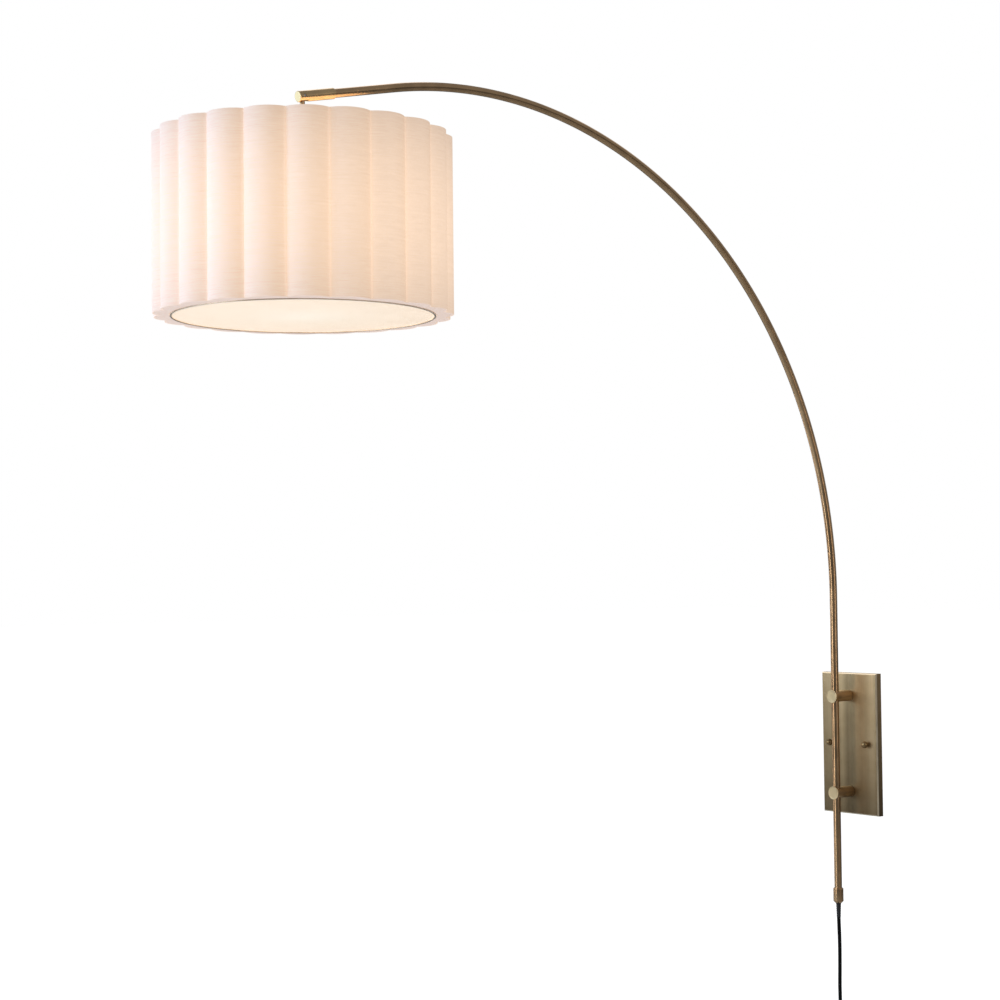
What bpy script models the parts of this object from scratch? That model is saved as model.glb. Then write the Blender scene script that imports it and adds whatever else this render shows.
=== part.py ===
"""Swing arm wall sconce: a long arched tube that swings in two posts on a wall plate and
carries a scalloped drum shade, with a supply cord that hangs from the tube's lower end.

Metres, +Z up. The origin is the centre of the wall bracket's back, the wall is the plane
y = 0, and the object stands out of it along -Y. The arm lies in the plane x = 0.
"""

import math

import bmesh
import bpy
from mathutils import Matrix, Vector

MM = 0.001
GAP = 0.3 * MM

# Wall plate and what stands on it.
PLATE_W, PLATE_H, PLATE_D = 121 * MM, 240 * MM, 12.5 * MM
PLATE_WALL = 1.6 * MM
PLATE_CHAMFER = 2 * MM
BRACKET_W, BRACKET_H, BRACKET_D = 104 * MM, 30 * MM, 2.5 * MM
STUD_SPACING = 78 * MM
POST_SPACING = 163 * MM
POST_R, POST_CAP_R, POST_CAP_D = 9.5 * MM, 10.9 * MM, 1.5 * MM
POST_NOSE = 7.2 * MM
POST_SCREW_R, POST_SCREW_HOLE_R = 2.5 * MM, 2.9 * MM
STUD_R, STUD_HOLE_R, STUD_END = 1.9 * MM, 2.4 * MM, 17.8 * MM
BALL_R, BALL_CENTRE = 5.75 * MM, 6.5 * MM
FRICTION_R, FRICTION_HOLE_R = 1.5 * MM, 1.8 * MM
WALL_SLOT_HALF_W, WALL_SLOT_HALF_H, WALL_SLOT_X = 2.6 * MM, 8 * MM, 22 * MM

# Arm: straight up through the posts, a long arc, and straight again to its end.
TUBE_R, TUBE_WALL = 6.35 * MM, 1.2 * MM
TUBE_Y = -47.5 * MM
ARC_START_Z, ARC_R, ARC_BEND = 250.5 * MM, 756 * MM, math.radians(102.55)
SHADE_REACH = 1075.4 * MM
FERRULE_TOP, FERRULE_BOTTOM, FERRULE_R = -242 * MM, -267 * MM, 8.5 * MM
TUBE_BOTTOM = -258 * MM
RELIEF_BOTTOM = -291 * MM
SLEEVE_R, SLEEVE_BACK, SLEEVE_FRONT = 7.75 * MM, 53 * MM, 7.6 * MM
TUBE_STOP = 14 * MM
WIRE_R = 2 * MM

# Swivel between the arm's end and the shade's stem.
EYE_R, EYE_HALF = 6 * MM, 4.3 * MM
SLOT_HALF, SLOT_BACK, SLOT_FRONT = 4.7 * MM, 6.5 * MM, 6.7 * MM
SLOT_BELOW, SLOT_ABOVE = 12 * MM, 6.5 * MM
STEM_R, STEM_BORE, STEM_FOOT = 3.5 * MM, 2.2 * MM, 876 * MM
STEM_HOLE_R = STEM_R + 0.4 * MM
PIVOT_SCREW_R, PIVOT_SCREW_HOLE_R = 1.8 * MM, 2.1 * MM
STEM_WIRE_R = 1.6 * MM

# Shade, measured on its outer skin.
SHADE_TOP, SHADE_BOTTOM = 894.4 * MM, 650.5 * MM
SCALLOPS = 22
CREST_R, VALLEY_R = 205.5 * MM, 195.5 * MM
SCALLOP_TURN = math.radians(0.92)
SKIN = 1.4 * MM
WIRE_FRAME_R, WIRE_INSET = 1.2 * MM, SKIN + 0.5 * MM
SPIDER_Z, SPIDER_HALF, SPIDER_HUB_R = 886 * MM, 1 * MM, 12 * MM
SPIDER_ARM_HALF_W, SPIDER_ARM_HALF_H = 2.5 * MM, 0.9 * MM
SPIDER_CUSPS = (0, 7, 15)
NUT_R, NUT_H, CUP_NUT_Z = 7.2 * MM, 4 * MM, 877.8 * MM
RIM_R, RIM_LIP_R, RIM_H, RIM_WALL, RIM_DROP = 180.9 * MM, 178.4 * MM, 8 * MM, 1 * MM, 1.2 * MM
DIFFUSER_D = 3 * MM

# Lamp holder and bulb, as heights above the world's origin.
CUP_R, CUP_BOTTOM, CUP_WALL = 19 * MM, 842 * MM, 1.4 * MM
HOLDER_R, HOLDER_TOP, HOLDER_BOTTOM = 17.2 * MM, 875.5 * MM, 826 * MM
HOLDER_BORE, HOLDER_BORE_TOP = 13.6 * MM, 849 * MM
CAP_R, CAP_BOTTOM = 13.1 * MM, 824.5 * MM
BULB_R, BULB_BOTTOM, GLASS_WALL = 30 * MM, 733 * MM, 1.2 * MM

# Supply cord.
CORD_D = 6.2 * MM
CORD_LENGTH = 1.8
CORD_WANDER = ((0.0, -291.3), (0.3, -305), (1.1, -335), (0.8, -370), (0.0, -405), (0.3, -435), (0.0, -450))
SWITCH_W, SWITCH_D, SWITCH_TOP, SWITCH_BOTTOM = 24 * MM, 18 * MM, -450 * MM, -510 * MM
ROCKER_W, ROCKER_L, ROCKER_TILT = 10.4 * MM, 20 * MM, math.radians(8)
HANK_TURNS = 6
HANK_FOLD_R = 20 * MM
HANK_PITCH = 6.4 * MM
HANK_RUN_TOP = -537 * MM
HANK_TAIL = 34 * MM
PLUG_W, PLUG_D, PLUG_H, PLUG_RELIEF_H = 24 * MM, 15 * MM, 50 * MM, 22 * MM
BLADE_SPACING, BLADE_W, BLADE_D = 12.7 * MM, 6.3 * MM, 1.5 * MM
BLADE_OUT, BLADE_ROOT = 16 * MM, 5.7 * MM


def clear_scene():
    for obj in list(bpy.data.objects):
        bpy.data.objects.remove(obj, do_unlink=True)


def material(name, colour, roughness, metallic=0.0):
    made = bpy.data.materials.new(name)
    made.use_nodes = True
    made.diffuse_color = (*colour, 1.0)
    shader = made.node_tree.nodes["Principled BSDF"]
    shader.inputs["Base Color"].default_value = (*colour, 1.0)
    shader.inputs["Roughness"].default_value = roughness
    shader.inputs["Metallic"].default_value = metallic
    return made


def brass(name):
    return material(name, (0.42, 0.30, 0.17), 0.32, 1.0)


def steel(name):
    return material(name, (0.55, 0.55, 0.56), 0.35, 1.0)


def black_plastic(name):
    return material(name, (0.02, 0.02, 0.02), 0.5)


def empty(name, location):
    made = bpy.data.objects.new(name, None)
    made.location = location
    bpy.context.scene.collection.objects.link(made)
    return made


def add(name, mesh, finish, parent=None, location=(0, 0, 0), rotation=None, smooth=True):
    """Links a new object. With a parent, the location is measured from that parent's origin."""
    made = bpy.data.objects.new(name, mesh)
    bpy.context.scene.collection.objects.link(made)
    made.parent = parent
    made.location = location
    if rotation is not None:
        made.rotation_euler = rotation.to_euler()
    if finish is not None:
        mesh.materials.append(finish)
    if smooth and isinstance(mesh, bpy.types.Mesh):
        mesh.shade_smooth()
        mesh.set_sharp_from_angle(angle=math.radians(35))
    return made


def mesh_from(bm, name):
    bmesh.ops.recalc_face_normals(bm, faces=bm.faces)
    mesh = bpy.data.meshes.new(name)
    bm.to_mesh(mesh)
    bm.free()
    return mesh


def turned(name, profile, segments=28):
    """A solid turned about Z from a closed loop of (radius, height) points."""
    bm = bmesh.new()
    points = [bm.verts.new((r, 0, z)) for r, z in profile]
    around = zip(points, points[1:] + points[:1])
    edges = [bm.edges.new(pair) for pair in around if max(v.co.x for v in pair) > 0]
    bmesh.ops.spin(
        bm, geom=points + edges, cent=(0, 0, 0), axis=(0, 0, 1), angle=math.tau, steps=segments, use_merge=True
    )
    bmesh.ops.remove_doubles(bm, verts=bm.verts, dist=1e-6)
    return mesh_from(bm, name)


def block(name, low, high):
    bm = bmesh.new()
    bmesh.ops.create_cube(bm, size=1)
    size = Vector(high) - Vector(low)
    middle = (Vector(high) + Vector(low)) / 2
    bmesh.ops.scale(bm, vec=size, verts=bm.verts)
    bmesh.ops.translate(bm, vec=middle, verts=bm.verts)
    return mesh_from(bm, name)


def rod(name, radius, low, high, segments=24):
    return turned(name, [(0, low), (radius, low), (radius, high), (0, high)], segments)


def ring_between(name, outer, inner, low, high):
    """A flat ring between two outlines that have the same number of (x, y) points."""
    bm = bmesh.new()
    rows = [[bm.verts.new((x, y, z)) for x, y in loop] for loop, z in
            ((outer, low), (outer, high), (inner, high), (inner, low))]
    count = len(outer)
    for row, following in zip(rows, rows[1:] + rows[:1]):
        for i in range(count):
            j = (i + 1) % count
            bm.faces.new((row[i], row[j], following[j], following[i]))
    return mesh_from(bm, name)


def prism(name, outline, low, high):
    """A solid with an outline of (x, y) points, from height low to height high."""
    bm = bmesh.new()
    face = bm.faces.new([bm.verts.new((x, y, low)) for x, y in outline])
    raised = bmesh.ops.extrude_face_region(bm, geom=[face])
    moved = [item for item in raised["geom"] if isinstance(item, bmesh.types.BMVert)]
    bmesh.ops.translate(bm, vec=(0, 0, high - low), verts=moved)
    return mesh_from(bm, name)


def circle(radius, count, start=0.0):
    angles = [start + math.tau * i / count for i in range(count)]
    return [(radius * math.cos(a), radius * math.sin(a)) for a in angles]


def round_box(half_x, half_y, radius, steps=4):
    """The outline of a rectangle with rounded corners."""
    points = []
    for quarter in range(4):
        cx = (half_x - radius) * (1 if quarter in (0, 3) else -1)
        cy = (half_y - radius) * (1 if quarter in (0, 1) else -1)
        for i in range(steps + 1):
            a = math.pi / 2 * (quarter + i / steps)
            points.append((cx + radius * math.cos(a), cy + radius * math.sin(a)))
    return points


def boolean(obj, operation, name, mesh, location=(0, 0, 0), rotation=None):
    """Cuts or joins a helper solid, placed in the object's own coordinates."""
    helper = add(f"{obj.name}_{name}", mesh, None, obj, location, rotation)
    helper.hide_render = True
    helper.display_type = "WIRE"
    modifier = obj.modifiers.new(name, "BOOLEAN")
    modifier.operation = operation
    modifier.solver = "EXACT"
    modifier.object = helper


def cut(obj, name, mesh, location=(0, 0, 0), rotation=None):
    boolean(obj, "DIFFERENCE", name, mesh, location, rotation)


def join(obj, name, mesh, location=(0, 0, 0), rotation=None):
    boolean(obj, "UNION", name, mesh, location, rotation)


ALONG_X = Matrix.Rotation(math.pi / 2, 3, "Y")
ALONG_OUT = Matrix.Rotation(math.pi / 2, 3, "X")
"""Turns a solid's Z axis to +X, and to -Y, which is out of the wall."""


def poly_tube(name, points, radius, finish, parent=None, sides=3, closed=False):
    """A round tube along world points, with flat ends."""
    data = bpy.data.curves.new(name, "CURVE")
    data.dimensions = "3D"
    data.bevel_depth = radius
    data.bevel_resolution = sides
    data.use_fill_caps = not closed
    spline = data.splines.new("POLY")
    spline.points.add(len(points) - 1)
    offset = Vector(parent.location) if parent else Vector((0, 0, 0))
    for place, point in zip(spline.points, points):
        place.co = (*(Vector(point) - offset), 1.0)
    spline.use_cyclic_u = closed
    return add(name, data, finish, parent)


# --- The arm's line -------------------------------------------------------------------


def arc_point(angle):
    """A point of the arm's arc, in the world."""
    out = ARC_R * (1 - math.cos(angle))
    return Vector((0, TUBE_Y - out, ARC_START_Z + ARC_R * math.sin(angle)))


ARM_END_DIRECTION = Vector((0, -math.sin(ARC_BEND), math.cos(ARC_BEND)))
END_RUN = (SHADE_REACH + arc_point(ARC_BEND).y - TUBE_Y) / math.sin(ARC_BEND)
PIVOT = arc_point(ARC_BEND) + END_RUN * ARM_END_DIRECTION
SLEEVE_TURN = Matrix.Rotation(ARC_BEND, 3, "X")


def arm_line(bottom, stop, steps):
    """The arm's centreline from a height below the posts to a distance short of the pivot."""
    line = [Vector((0, TUBE_Y, bottom))]
    line += [arc_point(ARC_BEND * i / steps) for i in range(steps + 1)]
    return line + [PIVOT - stop * ARM_END_DIRECTION]


# --- Wall plate group -----------------------------------------------------------------


def build_backplate():
    bm = bmesh.new()
    bmesh.ops.create_cube(bm, size=1)
    bmesh.ops.scale(bm, vec=(PLATE_W, PLATE_D, PLATE_H), verts=bm.verts)
    bmesh.ops.translate(bm, vec=(0, -PLATE_D / 2, 0), verts=bm.verts)
    front = [e for e in bm.edges if all(v.co.y < -PLATE_D + MM for v in e.verts)]
    bmesh.ops.bevel(bm, geom=front, offset=PLATE_CHAMFER, segments=1, affect="EDGES", profile=0.5)
    plate = add("backplate", mesh_from(bm, "backplate"), brass("plate_brass"), smooth=False)
    inner_x = PLATE_W / 2 - PLATE_WALL
    inner_z = PLATE_H / 2 - PLATE_WALL
    low = (-inner_x, -PLATE_D + PLATE_WALL, -inner_z)
    cut(plate, "hollow", block("hollow", low, (inner_x, 2 * MM, inner_z)))
    for i, z in enumerate((-POST_SPACING / 2, POST_SPACING / 2)):
        cut(plate, f"post_hole_{i}", rod("hole", POST_SCREW_HOLE_R, 0, 2 * PLATE_D), (0, 0, z), ALONG_OUT)
    for i, x in enumerate((-STUD_SPACING / 2, STUD_SPACING / 2)):
        cut(plate, f"stud_hole_{i}", rod("hole", STUD_HOLE_R, 0, 2 * PLATE_D), (x, 0, 0), ALONG_OUT)


def build_bracket():
    outline = round_box(BRACKET_W / 2, BRACKET_H / 2, 5 * MM)
    bracket = add("wall_bracket", prism("wall_bracket", outline, 0, BRACKET_D), steel("bracket_steel"),
                  rotation=ALONG_OUT)
    slot = round_box(WALL_SLOT_HALF_W, WALL_SLOT_HALF_H, WALL_SLOT_HALF_W - 0.1 * MM)
    for i, x in enumerate((-1, 1)):
        hole = rod("hole", STUD_HOLE_R, -MM, 2 * BRACKET_D)
        cut(bracket, f"stud_hole_{i}", hole, (x * STUD_SPACING / 2, 0, 0))
        cut(bracket, f"wall_slot_{i}", prism("slot", slot, -MM, 2 * BRACKET_D), (x * WALL_SLOT_X, 0, 0))


def ball_nut_mesh():
    """A ball on a short neck, with a blind hole for its stud."""
    start, steps = math.radians(-55), 9
    arc = [start + (math.pi / 2 - start) * i / steps for i in range(steps)]
    bore, depth, neck = STUD_R + 0.4 * MM, 5.6 * MM, 3.9 * MM
    profile = [(0, depth), (bore, depth), (bore, 0), (neck, 0), (neck, 1.2 * MM)]
    profile += [(BALL_R * math.cos(a), BALL_CENTRE + BALL_R * math.sin(a)) for a in arc]
    return turned("ball_nut", profile + [(0, BALL_CENTRE + BALL_R)], 16)


def build_studs():
    nut = ball_nut_mesh()
    stud = rod("stud", STUD_R, GAP, STUD_END, 16)
    for side, x in (("left", -STUD_SPACING / 2), ("right", STUD_SPACING / 2)):
        add(f"stud_{side}", stud.copy(), steel(f"stud_{side}_steel"), None, (x, 0, 0), ALONG_OUT)
        add(f"ball_nut_{side}", nut.copy(), brass(f"ball_nut_{side}_brass"), None,
            (x, -PLATE_D - GAP, 0), ALONG_OUT)


def screw_mesh(head_r, head_h, shank_r, shank_l):
    """A pan head below height 0 and its shank above it."""
    profile = [(0, -head_h), (head_r * 0.7, -head_h), (head_r, -head_h * 0.55), (head_r, 0)]
    return turned("screw", profile + [(shank_r, 0), (shank_r, shank_l), (0, shank_l)], 20)


def build_posts():
    length = -PLATE_D - GAP - TUBE_Y + POST_NOSE
    screw = screw_mesh(4.6 * MM, 3 * MM, POST_SCREW_R, 12 * MM)
    for level, z in (("upper", POST_SPACING / 2), ("lower", -POST_SPACING / 2)):
        base = (0, -PLATE_D - GAP, z)
        post = add(f"post_{level}", rod("post", POST_R, 0, length, 30), brass(f"post_{level}_brass"), None,
                   base, ALONG_OUT)
        bore_at = length - POST_NOSE
        cut(post, "arm_bore", rod("bore", TUBE_R + GAP, -20 * MM, 20 * MM, 26), (0, 0, bore_at),
            Matrix.Rotation(math.pi / 2, 3, "X"))
        cut(post, "screw_hole", rod("hole", POST_SCREW_R + GAP, -MM, 11.5 * MM, 20))
        hole = rod("hole", FRICTION_HOLE_R, -12 * MM, -2 * MM, 16)
        cut(post, "friction_hole", hole, (0, 0, bore_at), ALONG_X)
        add(f"post_screw_{level}", screw.copy(), steel(f"post_screw_{level}_steel"), None,
            (0, -PLATE_D + PLATE_WALL + GAP, z), ALONG_OUT)
        add(f"friction_screw_{level}", rod("friction", FRICTION_R, GAP - POST_R, -TUBE_R - GAP, 16),
            steel(f"friction_screw_{level}_steel"), None, (0, TUBE_Y, z), ALONG_X)
        ease = 0.4 * MM
        cap = [(0, 0), (POST_CAP_R, 0), (POST_CAP_R, POST_CAP_D - ease), (POST_CAP_R - ease, POST_CAP_D),
               (0, POST_CAP_D)]
        add(f"post_cap_{level}", turned("post_cap", cap, 32), brass(f"post_cap_{level}_brass"), None,
            (0, TUBE_Y - POST_NOSE - GAP, z), ALONG_OUT)


# --- Arm group ------------------------------------------------------------------------


def build_arm_tube(arm, sides=14, steps=42):
    line = arm_line(TUBE_BOTTOM, TUBE_STOP, steps)
    bm = bmesh.new()
    across = Vector((1, 0, 0))
    rings = []
    for i, point in enumerate(line):
        ahead = (line[min(i + 1, len(line) - 1)] - line[max(i - 1, 0)]).normalized()
        if i <= 1:
            ahead = Vector((0, 0, 1))
        up = ahead.cross(across)
        centre = point - arm.location
        for radius in (TUBE_R, TUBE_R - TUBE_WALL):
            round_it = [radius * (across * x + up * y) for x, y in circle(1, sides)]
            rings.append([bm.verts.new(centre + offset) for offset in round_it])
    outer, inner = rings[0::2], rings[1::2]
    walls = list(zip(outer, outer[1:])) + list(zip(inner, inner[1:]))
    walls += [(outer[0], inner[0]), (outer[-1], inner[-1])]
    for one, other in walls:
        for k in range(sides):
            j = (k + 1) % sides
            bm.faces.new((one[k], one[j], other[j], other[k]))
    add("arm_tube", mesh_from(bm, "arm_tube"), brass("tube_brass"), arm)


def build_lower_end(arm):
    bore, mouth, step = TUBE_R + GAP, 4.7 * MM, TUBE_BOTTOM - GAP
    profile = [(bore, FERRULE_TOP), (bore, step), (mouth, step), (mouth, FERRULE_BOTTOM),
               (5.6 * MM, FERRULE_BOTTOM), (FERRULE_R, FERRULE_BOTTOM + 3 * MM),
               (FERRULE_R, FERRULE_TOP - 0.6 * MM), (FERRULE_R - 0.6 * MM, FERRULE_TOP)]
    add("lower_ferrule", turned("lower_ferrule", profile, 24), brass("ferrule_brass"), arm)
    top = TUBE_BOTTOM - 0.8 * MM
    relief = [(0, RELIEF_BOTTOM), (3.5 * MM, RELIEF_BOTTOM), (4.3 * MM, FERRULE_BOTTOM - 2 * MM),
              (4.3 * MM, top), (0, top)]
    add("cord_relief", turned("cord_relief", relief, 24), black_plastic("relief_rubber"), arm)
    wire = [Vector((0, TUBE_Y, top + GAP))] + arm_line(ARC_START_Z, EYE_R + 0.8 * MM, 34)[1:]
    poly_tube("arm_wire", wire, WIRE_R, material("arm_wire_sheath", (0.05, 0.05, 0.05), 0.6), arm, 2)


def build_upper_end(arm):
    """The sleeve at the arm's end, slotted from below for the stem's eye."""
    bore, throat = TUBE_R + GAP, 3.6 * MM
    shoulder = -TUBE_STOP + GAP
    profile = [(bore, -SLEEVE_BACK), (bore, shoulder), (throat, shoulder), (throat, 0), (0, 0),
               (0, SLEEVE_FRONT), (SLEEVE_R - 0.7 * MM, SLEEVE_FRONT), (SLEEVE_R, SLEEVE_FRONT - 0.7 * MM),
               (SLEEVE_R, -SLEEVE_BACK + 0.6 * MM), (SLEEVE_R - 0.6 * MM, -SLEEVE_BACK)]
    profile = profile[4:] + profile[:4] + [(0, 0)]
    place = PIVOT - arm.location
    sleeve = add("upper_sleeve", turned("upper_sleeve", profile, 28), brass("sleeve_brass"), arm,
                 place, SLEEVE_TURN)
    slot = block("slot", (-SLOT_HALF, -SLOT_BELOW, -SLOT_BACK), (SLOT_HALF, SLOT_ABOVE, SLOT_FRONT))
    cut(sleeve, "eye_slot", slot)
    for side, sign in (("left", -1), ("right", 1)):
        turn = Matrix.Rotation(sign * math.pi / 2, 3, "Y")
        cut(sleeve, f"screw_hole_{side}", rod("hole", PIVOT_SCREW_HOLE_R, 3 * MM, 10 * MM, 16), (0, 0, 0), turn)
        add(f"pivot_screw_{side}", rod("pivot_screw", PIVOT_SCREW_R, 3.4 * MM, 7.4 * MM, 16),
            steel(f"pivot_screw_{side}_steel"), arm, place, turn)


# --- Shade group ----------------------------------------------------------------------


def scallop_outline(inset, steps):
    """The shade's plan: outward arcs that meet in inward cusps, moved inward by inset."""
    half = math.pi / SCALLOPS
    chord = 2 * VALLEY_R * math.sin(half)
    rise = CREST_R - VALLEY_R * math.cos(half)
    arc_r = chord**2 / (8 * rise) + rise / 2
    centre_r = CREST_R - arc_r
    sweep = half + math.asin(centre_r * math.sin(half) / (arc_r - inset))
    points = []
    for i in range(SCALLOPS):
        crest = SCALLOP_TURN + math.tau * i / SCALLOPS
        for k in range(steps):
            a = crest - sweep + 2 * sweep * k / steps
            points.append((centre_r * math.cos(crest) + (arc_r - inset) * math.cos(a),
                           centre_r * math.sin(crest) + (arc_r - inset) * math.sin(a)))
    return points


def build_stem(shade):
    """The eye in the arm's slot and the hollow stem below it, in one piece."""
    foot = STEM_FOOT - PIVOT.z
    stem = add("swivel_stem", rod("swivel_stem", STEM_R, foot, -3 * MM, 24), brass("stem_brass"), shade)
    join(stem, "eye", rod("eye", EYE_R, -EYE_HALF, EYE_HALF, 28), (0, 0, 0), ALONG_X)
    cut(stem, "bore", rod("bore", STEM_BORE, foot - MM, 0, 16))
    cut(stem, "wire_mouth", rod("mouth", 2.6 * MM, -9 * MM, 0, 16), (0, 0, 0), SLEEVE_TURN)
    room = 3.3 * MM
    angles = [math.pi * (k / 8 - 0.5) for k in range(1, 8)]
    pocket = [(0, -room)] + [(room * math.cos(a), room * math.sin(a)) for a in angles] + [(0, room)]
    cut(stem, "pocket", turned("pocket", pocket, 16))
    for side, sign in (("left", -1), ("right", 1)):
        cut(stem, f"screw_hole_{side}", rod("hole", PIVOT_SCREW_HOLE_R, 2.6 * MM, EYE_R, 16), (0, 0, 0),
            Matrix.Rotation(sign * math.pi / 2, 3, "Y"))
    lead = [PIVOT - 5 * MM * ARM_END_DIRECTION, PIVOT - 2 * MM * ARM_END_DIRECTION,
            PIVOT - Vector((0, 0, 2.5 * MM)), PIVOT - Vector((0, 0, 40 * MM)),
            Vector((0, PIVOT.y, HOLDER_TOP + GAP))]
    poly_tube("stem_wire", lead, STEM_WIRE_R, material("stem_wire_sheath", (0.05, 0.05, 0.05), 0.6), shade, 2)


def above_pivot(profile):
    """A profile in world heights, measured from the swivel's axis instead."""
    return [(r, z - PIVOT.z) for r, z in profile]


def build_spider(shade):
    hub = [(STEM_HOLE_R, -SPIDER_HALF), (SPIDER_HUB_R, -SPIDER_HALF), (SPIDER_HUB_R, SPIDER_HALF),
           (STEM_HOLE_R, SPIDER_HALF)]
    spider = add("shade_spider", turned("shade_spider", hub, 24), steel("spider_steel"), shade,
                 (0, 0, SPIDER_Z - PIVOT.z))
    reach = min(math.hypot(x, y) for x, y in scallop_outline(WIRE_INSET + 2 * WIRE_FRAME_R, 4)) - GAP
    low = (SPIDER_HUB_R - 2 * MM, -SPIDER_ARM_HALF_W, -SPIDER_ARM_HALF_H)
    for i, cusp in enumerate(SPIDER_CUSPS):
        turn = SCALLOP_TURN + math.tau * (cusp + 0.5) / SCALLOPS
        arm = block("arm", low, (reach, SPIDER_ARM_HALF_W, SPIDER_ARM_HALF_H))
        join(spider, f"arm_{i}", arm, (0, 0, 0), Matrix.Rotation(turn, 3, "Z"))


def build_fitter(shade):
    """The washer and nuts that hold the spider and the socket's cup on the stem."""
    hole, outer = STEM_HOLE_R, 8 * MM
    low = SPIDER_Z + SPIDER_HALF + GAP
    washer = above_pivot([(hole, low), (outer, low), (outer, low + MM), (hole, low + MM)])
    add("stem_washer", turned("stem_washer", washer, 24), steel("washer_steel"), shade)
    for name, bottom in (("lock_nut", low + MM + GAP), ("cup_nut", CUP_NUT_Z)):
        nut = add(name, prism(name, circle(NUT_R, 6), 0, NUT_H), steel(f"{name}_steel"), shade,
                  (0, 0, bottom - PIVOT.z))
        cut(nut, "thread", rod("thread", STEM_R + GAP, -MM, NUT_H + MM, 20))
    top = SPIDER_Z - SPIDER_HALF - GAP
    inner, shoulder, crown = CUP_R - CUP_WALL, 6 * MM, 2 * MM
    profile = [(hole, top), (SPIDER_HUB_R, top), (CUP_R, top - shoulder), (CUP_R, CUP_BOTTOM),
               (inner, CUP_BOTTOM), (inner, top - shoulder - 0.4 * MM),
               (SPIDER_HUB_R - 0.6 * MM, top - crown), (hole, top - crown)]
    add("socket_cup", turned("socket_cup", above_pivot(profile), 24), brass("cup_brass"), shade)


def bulb_profile(inset, neck):
    """The bulb's outline from its open neck down to its lowest point, moved inward by inset."""
    centre = BULB_BOTTOM + BULB_R
    radius = BULB_R - inset
    profile = [(13 * MM - inset, neck), (14 * MM - inset, neck - 12 * MM), (20 * MM - inset, neck - 28 * MM)]
    arc = [math.radians(40 - 13 * k) for k in range(10)]
    profile += [(radius * math.cos(a), centre + radius * math.sin(a)) for a in arc]
    return profile + [(0, centre - radius)]


def build_lamp(shade):
    holder = [(0, HOLDER_TOP), (10 * MM, HOLDER_TOP), (HOLDER_R, HOLDER_TOP - 5 * MM),
              (HOLDER_R, HOLDER_BOTTOM), (HOLDER_BORE, HOLDER_BOTTOM), (HOLDER_BORE, HOLDER_BORE_TOP),
              (0, HOLDER_BORE_TOP)]
    add("lamp_holder", turned("lamp_holder", above_pivot(holder), 24), black_plastic("holder_plastic"), shade)
    top = HOLDER_BORE_TOP - GAP
    cap = [(0, top), (5 * MM, top), (8 * MM, top - 3 * MM), (CAP_R, top - 5 * MM), (CAP_R, CAP_BOTTOM),
           (0, CAP_BOTTOM)]
    add("bulb_cap", turned("bulb_cap", above_pivot(cap), 24), steel("bulb_cap_metal"), shade)
    neck = CAP_BOTTOM - GAP
    glass = bulb_profile(0, neck) + bulb_profile(GLASS_WALL, neck)[::-1]
    add("bulb_glass", turned("bulb_glass", above_pivot(glass), 24),
        material("bulb_glass", (0.95, 0.93, 0.88), 0.1), shade)


def build_shade_skin(shade):
    def height(z):
        return z - PIVOT.z

    fabric = material("shade_linen", (0.93, 0.87, 0.80), 0.9)
    wall = ring_between("shade_wall", scallop_outline(0, 6), scallop_outline(SKIN, 6), height(SHADE_BOTTOM),
                        height(SHADE_TOP))
    add("shade_wall", wall, fabric, shade)
    outer = scallop_outline(SKIN + GAP, 6)
    inner = [(x * (RIM_R + GAP) / math.hypot(x, y), y * (RIM_R + GAP) / math.hypot(x, y)) for x, y in outer]
    flange = ring_between("bottom_flange", outer, inner, height(SHADE_BOTTOM), height(SHADE_BOTTOM + SKIN))
    add("bottom_flange", flange, material("flange_linen", (0.93, 0.87, 0.80), 0.9), shade)
    for name, z in (("top_wire", SPIDER_Z), ("bottom_wire", SHADE_BOTTOM + SKIN + GAP + WIRE_FRAME_R)):
        line = scallop_outline(WIRE_INSET + WIRE_FRAME_R, 4)
        points = [Vector((x, PIVOT.y + y, z)) for x, y in line]
        poly_tube(name, points, WIRE_FRAME_R, steel(f"{name}_steel"), shade, 1, True)


def build_diffuser(shade):
    """A thin metal ring with an inward lip at its foot, and the disc that lies on the lip."""
    low = SHADE_BOTTOM - RIM_DROP - PIVOT.z
    wall_r, high, lip = RIM_R - RIM_WALL, low + RIM_H, low + RIM_DROP
    rim = [(RIM_LIP_R, low), (RIM_R, low), (RIM_R, high), (wall_r, high), (wall_r, lip), (RIM_LIP_R, lip)]
    add("diffuser_rim", turned("diffuser_rim", rim, 72), brass("rim_brass"), shade)
    disc = rod("diffuser", wall_r - GAP, lip + GAP, lip + GAP + DIFFUSER_D, 72)
    add("diffuser", disc, material("diffuser_acrylic", (0.98, 0.94, 0.86), 0.6), shade)


# --- Supply cord ----------------------------------------------------------------------


def smooth_route(route, spacing):
    """Points at about this spacing on a Catmull-Rom curve through the route's own points."""
    ends = [2 * route[0] - route[1]] + list(route) + [2 * route[-1] - route[-2]]
    points = []
    for a, b, c, d in zip(ends, ends[1:], ends[2:], ends[3:]):
        steps = max(1, round((c - b).length / spacing))
        for k in range(steps):
            t = k / steps
            points.append(0.5 * ((2 * b) + (c - a) * t + (2 * a - 5 * b + 4 * c - d) * t**2
                                 + (3 * b - a - 3 * c + d) * t**3))
    return points + [route[-1]]


def hank_run():
    """The straight length of each run, so that the whole cord has its stated length."""
    hanging = RELIEF_BOTTOM - GAP - HANK_RUN_TOP + HANK_TAIL
    folds = HANK_TURNS * math.tau * HANK_FOLD_R
    return (CORD_LENGTH - hanging - folds) / (2 * HANK_TURNS + 1)


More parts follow.
